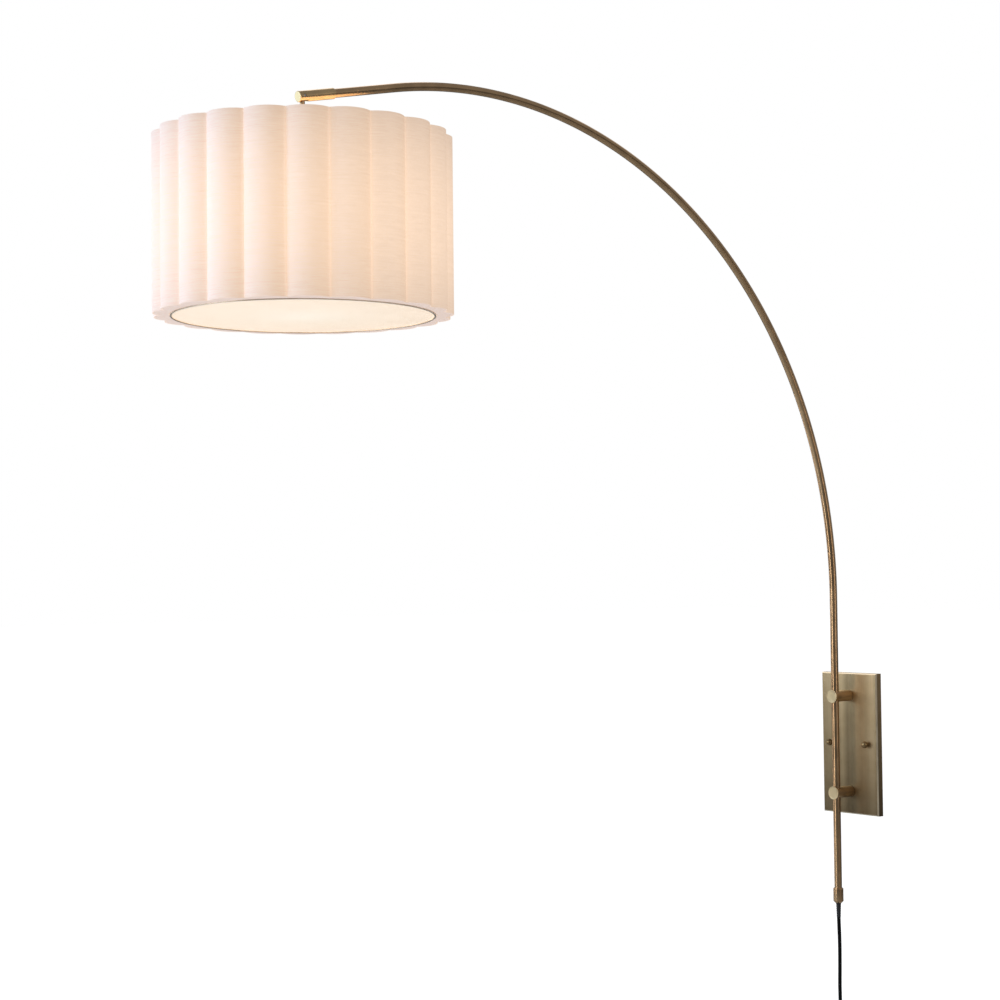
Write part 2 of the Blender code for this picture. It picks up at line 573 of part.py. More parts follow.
HANK_RUN = hank_run()
HANK_RUN_BOTTOM = HANK_RUN_TOP - HANK_RUN
HANK_DEPTH = HANK_PITCH * (HANK_TURNS + HANK_RUN / (2 * HANK_RUN + math.tau * HANK_FOLD_R))
HANK_END_Y = TUBE_Y - HANK_DEPTH
HANK_OUTER = HANK_FOLD_R + CORD_D / 2 + 0.2 * MM
PLUG_TOP = HANK_RUN_BOTTOM - HANK_TAIL


def build_cord(arm):
    sheath = (0.015, 0.015, 0.015)
    route = [Vector((x * MM, TUBE_Y, z * MM)) for x, z in CORD_WANDER]
    route[-1].z = SWITCH_TOP + GAP
    poly_tube("cord_hanging", smooth_route(route, 2.4 * CORD_D), CORD_D / 2,
              material("cord_hanging_pvc", sheath, 0.45), arm)
    shoulder = math.sqrt(HANK_OUTER**2 - (HANK_FOLD_R - CORD_D / 2) ** 2) + GAP
    middle = [Vector((0, TUBE_Y, z)) for z in (SWITCH_BOTTOM - GAP, HANK_RUN_TOP + shoulder)]
    poly_tube("cord_below_switch", smooth_route(middle, CORD_D), CORD_D / 2,
              material("cord_below_switch_pvc", sheath, 0.45), arm)
    tail = [Vector((0, HANK_END_Y, z)) for z in (HANK_RUN_BOTTOM - shoulder, PLUG_TOP + GAP)]
    poly_tube("cord_tail", smooth_route(tail, 2 * CORD_D), CORD_D / 2,
              material("cord_tail_pvc", sheath, 0.45), arm)


def build_hank(arm):
    half = HANK_RUN / 2
    arc = [math.pi * k / 10 for k in range(11)]
    outline = [(HANK_OUTER * math.cos(a), half + HANK_OUTER * math.sin(a)) for a in arc]
    outline += [(-x, -z) for x, z in outline]
    front = -(HANK_END_Y - CORD_D / 2 - 0.2 * MM)
    back = -(TUBE_Y + CORD_D / 2 + 0.2 * MM)
    middle = (-HANK_FOLD_R, 0, HANK_RUN_TOP - half)
    hank = prism("cord_hank", outline, back, front)
    offset = Vector((0, -TUBE_Y, 0))
    add("cord_hank", hank, material("cord_hank_pvc", (0.015, 0.015, 0.015), 0.45), arm,
        Vector(middle) + offset, ALONG_OUT)
    centre_y = -(back + front) / 2
    half_x, half_y = HANK_OUTER + GAP, (front - back) / 2 + GAP
    band = ring_between("hank_tie", round_box(half_x + 1.4 * MM, half_y + 1.4 * MM, 3.4 * MM, 5),
                        round_box(half_x, half_y, 0.6 * MM, 5), -7 * MM, 7 * MM)
    add("hank_tie", band, material("tie_fabric", (0.03, 0.03, 0.03), 0.85), arm,
        Vector((-HANK_FOLD_R, centre_y, HANK_RUN_TOP - half)) + offset)


def build_switch(arm, rocker):
    """A rocker switch on the cord, in two half shells held by one screw."""
    middle = (SWITCH_TOP + SWITCH_BOTTOM) / 2
    half_z = (SWITCH_TOP - SWITCH_BOTTOM) / 2
    outline = round_box(SWITCH_W / 2, half_z, 6 * MM)
    depth = SWITCH_D / 2
    place = (0, 0, middle)
    plastic = (0.02, 0.02, 0.02)
    for name, low, high in (("switch_front", GAP / 2, depth), ("switch_back", -depth, -GAP / 2)):
        shell = prism(name, outline, low, high)
        add(name, shell, material(f"{name}_plastic", plastic, 0.42), arm, place, ALONG_OUT)
    front = bpy.data.objects["switch_front"]
    pocket_x, pocket_z = ROCKER_W / 2 + 0.3 * MM, ROCKER_L / 2 + 0.9 * MM
    pocket = block("pocket", (-pocket_x, -pocket_z, depth - 6.6 * MM), (pocket_x, pocket_z, depth + MM))
    cut(front, "pocket", pocket)
    back = bpy.data.objects["switch_back"]
    cut(back, "screw_hole", rod("hole", 2.9 * MM, -depth - MM, -depth + 2.4 * MM, 16), (0, -20 * MM, 0))
    head = rod("switch_screw", 2.5 * MM, -depth + 0.3 * MM, -depth + 2.1 * MM, 16)
    add("switch_screw", head, steel("switch_screw_steel"), arm, (0, 0, middle - 20 * MM), ALONG_OUT)
    side = [(-ROCKER_L / 2, 1.9), (0, 0.9), (ROCKER_L / 2, 1.9), (ROCKER_L / 2, -2.4), (0, -3.2),
            (-ROCKER_L / 2, -2.4)]
    side = [(z, y * MM) for z, y in side]
    key = prism("switch_rocker", side, -ROCKER_W / 2, ROCKER_W / 2)
    turn = ALONG_OUT @ Matrix(((0, 0, 1), (1, 0, 0), (0, 1, 0)))
    turn = Matrix.Rotation(ROCKER_TILT, 3, "X") @ turn
    add("switch_rocker", key, material("rocker_plastic", (0.03, 0.03, 0.03), 0.35), rocker, (0, 0, 0), turn,
        smooth=False)


def build_plug(arm):
    place = (0, HANK_END_Y - TUBE_Y, 0)
    relief_low, body_low = PLUG_TOP - PLUG_RELIEF_H, PLUG_TOP - PLUG_H
    relief = [(0, PLUG_TOP), (3.7 * MM, PLUG_TOP), (5.4 * MM, relief_low), (0, relief_low)]
    add("plug_relief", turned("plug_relief", relief, 24), black_plastic("plug_relief_rubber"), arm, place)
    body = prism("plug_body", round_box(PLUG_W / 2, PLUG_D / 2, 5 * MM), body_low, relief_low - GAP)
    plug = add("plug_body", body, black_plastic("plug_plastic"), arm, place)
    for i, x in enumerate((-BLADE_SPACING / 2, BLADE_SPACING / 2)):
        room_x, room_y = BLADE_D / 2 + 0.2 * MM, BLADE_W / 2 + 0.2 * MM
        room_top = body_low + BLADE_ROOT + GAP
        room = block("room", (x - room_x, -room_y, body_low - MM), (x + room_x, room_y, room_top))
        cut(plug, f"blade_room_{i}", room)
        blade = block("blade", (x - BLADE_D / 2, -BLADE_W / 2, body_low - BLADE_OUT),
                      (x + BLADE_D / 2, BLADE_W / 2, body_low + BLADE_ROOT))
        add(f"plug_blade_{i}", blade, steel(f"plug_blade_{i}_metal"), arm, place, smooth=False)


def main():
    clear_scene()
    build_backplate()
    build_bracket()
    build_studs()
    build_posts()
    arm = empty("arm_axis", (0, TUBE_Y, 0))
    build_arm_tube(arm)
    build_lower_end(arm)
    build_upper_end(arm)
    shade = empty("shade_axis", PIVOT)
    build_stem(shade)
    build_spider(shade)
    build_fitter(shade)
    build_lamp(shade)
    build_shade_skin(shade)
    build_diffuser(shade)
    rocker_y = TUBE_Y - SWITCH_D / 2 + 2.2 * MM
    rocker = empty("rocker_axis", (0, rocker_y, (SWITCH_TOP + SWITCH_BOTTOM) / 2))
    build_cord(arm)
    build_hank(arm)
    build_switch(arm, rocker)
    build_plug(arm)


main()
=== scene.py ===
"""The lit look of a swing arm wall sconce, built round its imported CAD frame.

Metres, +Z up. The wall is the plane y = 0, the arm lies in the plane x = 0, and the shade hangs
from the arm's end. Every piece is made in world coordinates with its object at the origin.
"""

from math import asin, cos, hypot, pi, radians, sin, tau

import bmesh
import bpy
from mathutils import Matrix, Vector


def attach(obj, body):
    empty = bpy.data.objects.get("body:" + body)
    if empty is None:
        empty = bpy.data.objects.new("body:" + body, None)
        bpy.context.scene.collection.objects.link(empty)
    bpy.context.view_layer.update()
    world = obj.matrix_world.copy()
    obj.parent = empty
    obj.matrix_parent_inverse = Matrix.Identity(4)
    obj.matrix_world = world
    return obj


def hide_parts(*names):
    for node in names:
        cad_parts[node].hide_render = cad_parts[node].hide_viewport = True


MM = 0.001
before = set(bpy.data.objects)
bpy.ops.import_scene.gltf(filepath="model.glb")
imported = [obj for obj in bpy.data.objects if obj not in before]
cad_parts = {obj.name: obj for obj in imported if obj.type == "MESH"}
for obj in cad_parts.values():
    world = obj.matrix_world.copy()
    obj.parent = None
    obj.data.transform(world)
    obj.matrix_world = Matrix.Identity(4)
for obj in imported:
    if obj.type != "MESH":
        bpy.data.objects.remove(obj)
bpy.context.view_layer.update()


def mm(*values):
    return [value * MM for value in values]


# --- Dimensions that the frame was built with ---

TUBE_R, TUBE_WALL, TUBE_Y = mm(6.35, 1.2, -47.5)
TUBE_BOTTOM, TUBE_STOP = mm(-258, 14)
ARC_START_Z, ARC_R, ARC_BEND = 250.5 * MM, 756 * MM, radians(102.55)
SHADE_REACH = 1075.4 * MM
PLATE_W, PLATE_H, PLATE_D, PLATE_WALL = mm(121, 240, 12.5, 1.6)
STUD_X, POST_Z = mm(39, 81.5)
POST_R, POST_CAP_R, POST_CAP_D, POST_NOSE = mm(9.5, 10.9, 1.5, 7.2)
GAP = 0.3 * MM
TUBE_BORE = TUBE_R + GAP
FERRULE_TOP, FERRULE_BOTTOM, FERRULE_R = mm(-242, -267, 8.5)
RELIEF_BOTTOM = -291 * MM
SLEEVE_R, SLEEVE_BACK, SLEEVE_FRONT, SLOT_HALF = mm(7.75, 53, 7.6, 4.7)
STEM_R = 3.5 * MM

SHADE_TOP, SHADE_BOTTOM, SKIN = mm(894.4, 650.5, 1.4)
SCALLOPS, CREST_R, VALLEY_R = 22, 205.5 * MM, 195.5 * MM
SCALLOP_TURN = radians(0.92)
RIM_R, RIM_LIP_R = mm(180.9, 178.4)
DIFFUSER_D = 3 * MM
SPIDER_Z = 886 * MM
CUP_R, CUP_BOTTOM, CUP_WALL = mm(19, 842, 1.4)
HOLDER_R, HOLDER_TOP, HOLDER_BOTTOM = mm(17.2, 875.5, 826)
HOLDER_BORE, HOLDER_BORE_TOP = mm(13.6, 849)
CAP_BOTTOM, CAP_PITCH = mm(824.5, 3.2)
BULB_R, BULB_BOTTOM = mm(30, 733)

CORD_D, CORD_LENGTH = 6.2 * MM, 1.8
CORD_WANDER = ((0, -291.3), (0.3, -305), (1.1, -335), (0.8, -370), (0, -405), (0.3, -435),
               (0, -450))
"""The hanging cord's way down, as (x, z) in millimetres."""
SWITCH_TOP, SWITCH_BOTTOM, SWITCH_W, SWITCH_D = mm(-450, -510, 24, 18)
SWITCH_MIDDLE = (SWITCH_TOP + SWITCH_BOTTOM) / 2
ROCKER_W, ROCKER_L, ROCKER_TILT = 10.4 * MM, 20 * MM, radians(8)
HANK_TURNS, HANK_FOLD_R, HANK_PITCH = 6, 20 * MM, 6.4 * MM
HANK_RUN_TOP, HANK_TAIL = mm(-537, 34)
PLUG_W, PLUG_D = mm(24, 15)
BLADES_X, BLADE_HALF_W, BLADE_HALF_D = (-6.35 * MM, 6.35 * MM), 3.15 * MM, 0.75 * MM

# --- Placing ---


def at(x, y, z):
    return Matrix.Translation((x, y, z))


def spin(angle, axis):
    return Matrix.Rotation(angle, 4, axis)


OUT = spin(pi / 2, "X")
"""Turns a solid's Z axis to -Y, out of the wall."""
SIDEWAYS = Matrix(((0, 0, 1, 0), (1, 0, 0, 0), (0, 1, 0, 0), (0, 0, 0, 1)))
"""Turns a prism's X, Y and Z axes to Y, Z and X."""


def add_object(name, data):
    data.name = name
    obj = bpy.data.objects.new(name, data)
    bpy.context.scene.collection.objects.link(obj)
    return obj


# --- Camera ---

LENS_MM, SENSOR_MM, SIGHT = 71.19, 36, 100
CAMERA_PLACE = (2.2499, -2.6236, 0.2985)
CAMERA_TURN, CAMERA_TIP, CAMERA_ROLL = (radians(d) for d in (50.664, 92.09, -0.607))


def add_camera():
    data = bpy.data.cameras.new("camera")
    data.sensor_width = SENSOR_MM
    data.lens = LENS_MM
    data.clip_end = SIGHT
    camera = add_object("camera", data)
    turn = spin(CAMERA_TURN, "Z") @ spin(CAMERA_TIP, "X")
    camera.matrix_world = at(*CAMERA_PLACE) @ turn @ spin(CAMERA_ROLL, "Z")
    bpy.context.scene.camera = camera


add_camera()

# --- Node helpers ---

WAVE_TURN = 6.283


class Graph:
    """A material's nodes, made a line at a time."""

    def __init__(self, name):
        self.material = bpy.data.materials.new(name)
        self.material.use_nodes = True
        self.tree = self.material.node_tree
        self.shader = self.tree.nodes["Principled BSDF"]

    def put(self, socket, value):
        if isinstance(value, bpy.types.NodeSocket):
            self.tree.links.new(value, socket)
            return
        if isinstance(value, tuple) and len(value) == 3 and len(socket.default_value) == 4:
            value = (*value, 1.0)
        socket.default_value = value

    def set(self, **values):
        """Sets the shader's inputs. An underscore stands for a space."""
        for key, value in values.items():
            self.put(self.shader.inputs[key.replace("_", " ")], value)

    def node(self, kind, *inputs, out=0, **settings):
        made = self.tree.nodes.new(f"ShaderNode{kind}")
        for key, value in settings.items():
            setattr(made, key, value)
        for socket, value in inputs:
            self.put(made.inputs[socket], value)
        return made.outputs[out]

    def math(self, operation, a, b, clamp=False):
        return self.node("Math", (0, a), (1, b), operation=operation, use_clamp=clamp)

    def total(self, *terms):
        """The sum of values, each times its weight."""
        parts = [self.math("MULTIPLY", value, weight) for value, weight in terms]
        made = parts[0]
        for part in parts[1:]:
            made = self.math("ADD", made, part)
        return made

    def droop(self, value, middle, reach, top, drop):
        """A parabola: top at the middle, and less by drop at this reach from it."""
        off = self.math("DIVIDE", self.math("SUBTRACT", value, middle), reach)
        fall = self.math("MULTIPLY", self.math("MULTIPLY", off, off), drop)
        return self.math("SUBTRACT", top, fall)

    def uv(self, across=1, along=1):
        """The metric UV map, scaled."""
        source = self.node("UVMap", uv_map="metric")
        return self.node("Mapping", ("Vector", source), ("Scale", (across, along, 1)))

    def place(self, x=1, y=None, z=None):
        """The place on the object, scaled by x alone or by a factor for each axis."""
        source = self.node("TexCoord", out=3)
        scale = (x, x if y is None else y, x if z is None else z)
        return self.node("Mapping", ("Vector", source), ("Scale", scale))

    def axis(self, index):
        """The place along X, Y or Z, for 0, 1 or 2."""
        return self.node("SeparateXYZ", ("Vector", self.place()), out=index)

    def attribute(self, name):
        return self.node("Attribute", out=2, attribute_name=name)

    def noise(self, vector, detail, roughness):
        return self.node("TexNoise", ("Vector", vector), ("Scale", 1.0),
                         ("Detail", detail), ("Roughness", roughness))

    def wave(self, vector, thread, axis, distortion):
        """Bands that repeat about every two threads of this width."""
        return self.node("TexWave", ("Vector", vector),
                         ("Scale", 1 / thread / WAVE_TURN), ("Distortion", distortion),
                         ("Detail", 1.0), out=1, wave_type="BANDS", bands_direction=axis)

    def span(self, value, low, high, to_low=0.0, to_high=1.0):
        return self.node("MapRange", ("Value", value), ("From Min", low),
                         ("From Max", high), ("To Min", to_low), ("To Max", to_high))

    def ramp(self, factor, *stops):
        made = self.tree.nodes.new("ShaderNodeValToRGB")
        self.tree.links.new(factor, made.inputs[0])
        while len(made.color_ramp.elements) < len(stops):
            made.color_ramp.elements.new(0.5)
        for element, (position, colour) in zip(made.color_ramp.elements, stops):
            element.position = position
            element.color = (*colour, 1.0)
        return made.outputs[0]

    def mix(self, factor, a, b, blend="MIX"):
        return self.node("Mix", (0, factor), (6, a), (7, b), out=2, data_type="RGBA",
                         blend_type=blend)

    def bump(self, height, distance, strength):
        """Adds the bump, and returns the finished material."""
        normal = self.node("Bump", ("Height", height), ("Distance", distance),
                           ("Strength", strength))
        self.put(self.shader.inputs["Normal"], normal)
        return self.material


def tinted(colour, factor, lift=0.0):
    return tuple(min(1.0, c * factor + lift) for c in colour)


def greys(*stops):
    return [(position, (level,) * 3) for position, level in stops]


# --- Materials ---


def brass(name, tone, grain, dark, rough):
    """Aged satin brass: a drawn or turned grain, cloudy patina and darker flecks.

    A grain of two numbers follows the UV map, and one of three follows the object's axes.
    """
    g = Graph(name)
    lines = g.noise(g.uv(*grain) if len(grain) == 2 else g.place(*grain), 4.0, 0.6)
    clouds = g.noise(g.place(38), 2.0, 0.5)
    flecks = g.noise(g.place(700), 2.0, 0.5)
    aged = tinted(tone, dark)
    patina = g.ramp(clouds, (0.3, aged), (0.52, tone), (0.75, tinted(tone, 1.1)))
    streaked = g.mix(g.span(lines, 0.3, 0.75, 0.0, 0.24), patina, aged)
    colour = g.mix(g.span(flecks, 0.66, 0.82, 0.0, 0.06), streaked, tinted(tone, 0.5))
    spread = g.math("ADD", g.span(lines, 0.25, 0.75, -0.035, 0.05),
                    g.span(clouds, 0.3, 0.7, -0.025, 0.025))
    g.set(Base_Color=colour, Metallic=1.0, Roughness=g.math("ADD", spread, rough, True))
    return g.bump(lines, 0.005 * MM, 0.4)


def plate_brass():
    """The plate's brushed face, with painted reflection and shade: upright soft bands, the darkest
    in its middle behind the arm, and darker towards its foot.
    """
    g = Graph("brass_plate")
    strokes = g.noise(g.uv(1500, 14), 4.0, 0.6)
    bands = g.noise(g.uv(42, 1.6), 2.0, 0.4)
    clouds = g.noise(g.place(30), 4.0, 0.6)
    # Painted reflection: light and dark upright bands across the face, darkest where the arm is
    # reflected.
    painted_reflection_bands = g.ramp(g.span(g.axis(0), -PLATE_W / 2, PLATE_W / 2),
                   *greys((0.0, 0.9), (0.2, 1.0), (0.37, 1.12), (0.47, 0.64), (0.62, 1.22),
                          (0.8, 1.06), (0.93, 1.2), (1.0, 0.9)))
    # Painted shade: the face darkens towards its foot.
    foot = g.ramp(g.span(g.axis(2), -PLATE_H / 2, PLATE_H / 2),
                  *greys((0.0, 0.34), (0.3, 0.62), (0.75, 0.9), (1.0, 1.1)))
    tone = g.ramp(g.total((clouds, 0.5), (bands, 0.5)), (0.35, (0.50, 0.345, 0.184)),
                  (0.5, (0.61, 0.428, 0.233)), (0.65, (0.68, 0.487, 0.277)))
    tone = g.mix(1.0, g.mix(1.0, tone, painted_reflection_bands, "MULTIPLY"), foot, "MULTIPLY")
    colour = g.mix(g.span(strokes, 0.3, 0.75, 0.0, 0.25), tone, (0.20, 0.145, 0.08))
    g.set(Base_Color=colour, Metallic=1.0, Roughness=g.span(strokes, 0.25, 0.75, 0.32, 0.44))
    return g.bump(strokes, 0.008 * MM, 0.5)


def steel(name, tone=(0.56, 0.56, 0.55), rough=0.34):
    """Zinc-plated steel with soft spangle and fine scratches."""
    g = Graph(name)
    spangle = g.noise(g.place(260), 3.0, 0.7)
    scratches = g.noise(g.place(2200, 180, 260), 2.0, 0.6)
    g.set(Base_Color=g.ramp(spangle, (0.3, tinted(tone, 0.7)), (0.7, tone)), Metallic=1.0,
          Roughness=g.span(scratches, 0.3, 0.7, rough - 0.08, rough + 0.1))
    return g.bump(scratches, 0.02 * MM, 0.4)


def plastic(name, tone=(0.012, 0.012, 0.013), rough=0.42, grit=2600.0):
    """Moulded plastic with a fine spark-eroded grain."""
    g = Graph(name)
    grain = g.noise(g.place(grit), 2.0, 0.6)
    smear = g.noise(g.place(90), 3.0, 0.6)
    g.set(Base_Color=g.mix(g.span(smear, 0.35, 0.7), tone, tinted(tone, 1.9, 0.004)),
          Roughness=g.span(smear, 0.3, 0.7, rough - 0.06, rough + 0.08))
    return g.bump(grain, 0.05 * MM, 0.35)


def cord_sheath():
    """Black PVC lead: a faint drawn grain, a dusty bloom and slight diameter ripple."""
    g = Graph("cord_sheath")
    bloom = g.noise(g.place(55, 55, 22), 3.0, 0.6)
    ripple = g.noise(g.place(900, 900, 160), 2.0, 0.6)
    colour = g.ramp(bloom, (0.35, (0.003, 0.003, 0.003)), (0.75, (0.008, 0.0078, 0.0075)))
    g.set(Base_Color=colour, Roughness=g.span(bloom, 0.3, 0.7, 0.42, 0.56),
          Specular_IOR_Level=0.12)
    return g.bump(ripple, 0.06 * MM, 0.4)


def linen(name, even, shadow=None, cusp_highlight=None):
    """White linen laminated on a liner and lit from behind: slubbed weft, fine warp, warm glow.

    The glow is even, or carries painted shade along each scallop and a painted highlight at each
    cusp, each with its own colour.
    """
    g = Graph(name)
    slub = g.noise(g.uv(32, 860), 4.0, 0.62)
    long_slub = g.noise(g.uv(13, 430), 2.0, 0.5)
    fine_slub = g.noise(g.uv(90, 1500), 2.0, 0.5)
    warp_slub = g.noise(g.uv(900, 16), 3.0, 0.55)
    threads = g.math("MULTIPLY", g.wave(g.uv(), 0.9 * MM, "Y", 0.6),
                     g.wave(g.uv(), 0.8 * MM, "X", 0.6))
    cloth = g.total((slub, 0.5), (fine_slub, 0.28), (long_slub, 0.22))
    colour = g.ramp(cloth, (0.36, (0.39, 0.42, 0.52)), (0.5, (0.435, 0.47, 0.58)),
                    (0.64, (0.47, 0.51, 0.625)))
    colour = g.mix(g.span(warp_slub, 0.35, 0.7, 0.0, 0.10), colour, (0.40, 0.42, 0.47))
    g.set(Base_Color=colour, Roughness=0.92, Sheen_Weight=0.12, Sheen_Roughness=0.5,
          Specular_IOR_Level=0.15)
    if shadow:
        middle = (SHADE_TOP + SHADE_BOTTOM) / 2 - 8 * MM
        fade = g.droop(g.axis(2), middle, (SHADE_TOP - SHADE_BOTTOM) / 2, 1.0, 0.22)
        # Painted shade: the glow turns to the shadow colour towards each scallop's far side, and a
        # painted highlight brightens it at each cusp.
        tint = g.mix(g.attribute("lee"), even, shadow)
        tint = g.mix(g.span(g.attribute("cusp"), 0.88, 1.0), tint, cusp_highlight)
        power = g.math("MULTIPLY", fade, g.span(cloth, 0.36, 0.64, 0.93, 1.07))
        g.set(Emission_Color=tint, Emission_Strength=power)
    else:
        g.set(Emission_Color=even, Emission_Strength=g.span(cloth, 0.36, 0.64, 0.94, 1.06))
    return g.bump(g.math("ADD", g.math("MULTIPLY", threads, 0.4), cloth), 0.22 * MM, 0.5)


def liner():
    """The shade's smooth white inner face, with a painted glow of the bulb's light, brightest
    level with the bulb.
    """
    g = Graph("shade_liner")
    haze = g.noise(g.place(60, 60, 24), 3.0, 0.55)
    fibre = g.noise(g.place(500, 500, 120), 2.0, 0.5)
    g.set(Base_Color=g.ramp(haze, (0.3, (0.84, 0.80, 0.74)), (0.7, (0.90, 0.87, 0.82))),
          Roughness=0.6,
          Emission_Color=g.ramp(haze, (0.3, (1.0, 0.70, 0.42)), (0.7, (1.0, 0.76, 0.50))),
          Emission_Strength=g.droop(g.axis(2), BULB_BOTTOM + BULB_R, 130 * MM, 0.62, 0.2))
    return g.bump(fibre, 0.06 * MM, 0.4)


def opal():
    """Opal acrylic lit from above: hottest under the bulb, with a faint cast ripple."""
    g = Graph("opal_acrylic")
    middle = (0.0, TUBE_Y - SHADE_REACH, SHADE_BOTTOM)
    away = g.node("VectorMath", (0, g.place()), (1, middle), operation="DISTANCE", out=1)
    cast = g.noise(g.place(30), 3.0, 0.5)
    speck = g.noise(g.place(900), 2.0, 0.5)
    glow = g.ramp(g.span(away, 0.0, RIM_R), (0.0, (1.0, 0.86, 0.68)), (0.45, (1.0, 0.79, 0.575)),
                  (1.0, (0.99, 0.75, 0.53)))
    g.set(Base_Color=g.ramp(cast, (0.3, (0.86, 0.84, 0.80)), (0.7, (0.90, 0.88, 0.85))),
          Roughness=g.span(speck, 0.3, 0.7, 0.34, 0.44), Emission_Color=glow,
          Emission_Strength=g.span(cast, 0.3, 0.7, 0.68, 0.72))
    return g.bump(speck, 0.02 * MM, 0.3)


def bulb_glass():
    """A white-coated bulb, burning."""
    g = Graph("bulb_glass")
    coat = g.noise(g.place(110), 3.0, 0.6)
    g.set(Base_Color=(0.9, 0.88, 0.84), Roughness=g.span(coat, 0.3, 0.7, 0.2, 0.32),
          Emission_Color=g.ramp(coat, (0.3, (1.0, 0.66, 0.34)), (0.7, (1.0, 0.74, 0.44))),
          Emission_Strength=g.span(coat, 0.3, 0.7, 5.6, 6.4))
    return g.bump(coat, 0.02 * MM, 0.3)


def strap():
    """A woven hook-and-loop strap."""
    g = Graph("strap_cloth")
    pile = g.noise(g.place(1500), 3.0, 0.7)
    rib = g.wave(g.place(), 1.1 * MM, "Z", 0.4)
    height = g.math("ADD", pile, g.math("MULTIPLY", rib, 0.5))
    colour = g.ramp(height, (0.4, (0.010, 0.010, 0.011)), (0.95, (0.045, 0.045, 0.047)))
    g.set(Base_Color=colour, Roughness=0.95, Sheen_Weight=0.35, Sheen_Roughness=0.4)
    return g.bump(height, 0.25 * MM, 0.7)


TONE = (0.57, 0.372, 0.205)
BRASSES = {
    "tube": (TONE, (1500, 5), 0.86, 0.19),
    "turned": (TONE, (30, 1600), 0.84, 0.22),
    "post": ((0.66, 0.465, 0.27), (30, 1500), 0.74, 0.34),
    "cap": ((0.77, 0.58, 0.335), (400, 400), 0.72, 0.40),
    "nut": ((0.33, 0.22, 0.105), (40, 1500), 0.5, 0.2),
    "rim": ((0.80, 0.71, 0.61), (40, 1500), 0.8, 0.45),
    # Painted highlight: a lighter brass for the plate's chamfer faces.
    "edge": ((0.92, 0.77, 0.55), (1500, 12), 0.85, 0.36),
    "sleeve": ((0.66, 0.465, 0.25), (30, 1600), 0.88, 0.22),
    "stem": (TONE, (900, 900, 60), 0.66, 0.28),
}
mats = {name: brass(f"brass_{name}", *look) for name, look in BRASSES.items()}
mats |= {
    "plate": plate_brass(),
    "steel": steel("zinc_steel"),
    "white_wire": steel("coated_wire", (0.78, 0.76, 0.72), 0.45),
    "cap_metal": steel("lamp_cap_metal", (0.66, 0.65, 0.62), 0.24),
    "blade": steel("blade_metal", (0.72, 0.66, 0.50), 0.26),
    "black": plastic("moulded_black"),
    "gloss": plastic("rocker_black", (0.018, 0.018, 0.019), 0.3, 3200.0),
    "sheath": plastic("wire_sheath", (0.014, 0.014, 0.015), 0.5, 1800.0),
    "cord": cord_sheath(),
    # Glow colours: even, the painted shadow, and the painted cusp highlight.
    "linen": linen("shade_linen", (0.852, 0.610, 0.414), (0.81, 0.542, 0.327),
                   (0.872, 0.592, 0.372)),
    "flange": linen("flange_linen", (0.64, 0.47, 0.35)),
    "liner": liner(),
    "opal": opal(),
    "bulb": bulb_glass(),
    "strap": strap(),
}

# --- Mesh helpers ---

NEARLY_STRAIGHT = radians(165)
SHARP_DEG = 32


def eased(profile, radius, closed=False, steps=4):
    """The profile with each inner corner rounded."""
    points = [Vector(p) for p in profile]
    count = len(points)
    made = []
    for i, here in enumerate(points):
        before, after = points[i - 1] - here, points[(i + 1) % count] - here
        shorter = min(before.length, after.length)
        tip = not closed and i in (0, count - 1)
        if tip or shorter < 1e-7 or before.angle(after) > NEARLY_STRAIGHT:
            made.append(tuple(here))
            continue
        reach = min(radius, shorter * 0.45)
        start, end = here + before.normalized() * reach, here + after.normalized() * reach
        for k in range(steps + 1):
            t = k / steps
            made.append(tuple(start * (1 - t) ** 2 + here * 2 * t * (1 - t) + end * t * t))
    return made


def grid_mesh(bm, rings, uvs, looped=False):
    """Joins rings of vertices into a surface with a metric UV map, which uvs gives.

    The last ring joins the first when looped. Otherwise both get a cap.
    """
    layer = bm.loops.layers.uv.verify()
    count = len(rings[0])
    for i in range(len(rings) if looped else len(rings) - 1):
        j = (i + 1) % len(rings)
        for k in range(count):
            m = (k + 1) % count
            quad = [rings[i][k], rings[i][m], rings[j][m], rings[j][k]]
            marks = [(i, k), (i, k + 1), (i + 1, k + 1), (i + 1, k)]
            corners = {}
            for vert, mark in zip(quad, marks):
                corners.setdefault(vert, mark)
            if len(corners) < 3:
                continue
            for loop, mark in zip(bm.faces.new(list(corners)).loops, corners.values()):
                loop[layer].uv = uvs(*mark)
    for ring in () if looped else (rings[0], rings[-1]):
        if len(set(ring)) > 2:
            for loop in bm.faces.new(ring).loops:
                loop[layer].uv = (loop.vert.co.x, loop.vert.co.z)


def mesh_from(bm, sharp_deg=SHARP_DEG):
    bmesh.ops.recalc_face_normals(bm, faces=bm.faces)
    mesh = bpy.data.meshes.new("mesh")
    bm.to_mesh(mesh)
    bm.free()
    if mesh.uv_layers:
        mesh.uv_layers[0].name = "metric"
    mesh.shade_smooth()
    mesh.set_sharp_from_angle(angle=radians(sharp_deg))
    return mesh


def circle(count):
    return [tau * k / count for k in range(count)]


def lathe(profile, segments, place, closed=False):
    """A solid turned about Z from (radius, height) points, then placed."""
    bm = bmesh.new()
    rings, along = [], [0.0]
    for (r0, z0), (r1, z1) in zip(profile, profile[1:] + profile[:1]):
        along.append(along[-1] + hypot(r1 - r0, z1 - z0))
    widest = max(r for r, _ in profile)
    for r, z in profile:
        if r < 1e-6:
            rings.append([bm.verts.new(place @ Vector((0, 0, z)))] * segments)
        else:
            rings.append([bm.verts.new(place @ Vector((r * cos(a), r * sin(a), z)))
                          for a in circle(segments)])
    grid_mesh(bm, rings, lambda i, k: (k / segments * tau * widest, along[i]), closed)
    return mesh_from(bm)


def column(radius, low, high):
    return [(0, low), (radius, low), (radius, high), (0, high)]


def rod(radius, low, high, place, segments=32):
    """A plain cylinder, for a cut."""
    return lathe(column(radius, low, high), segments, place)


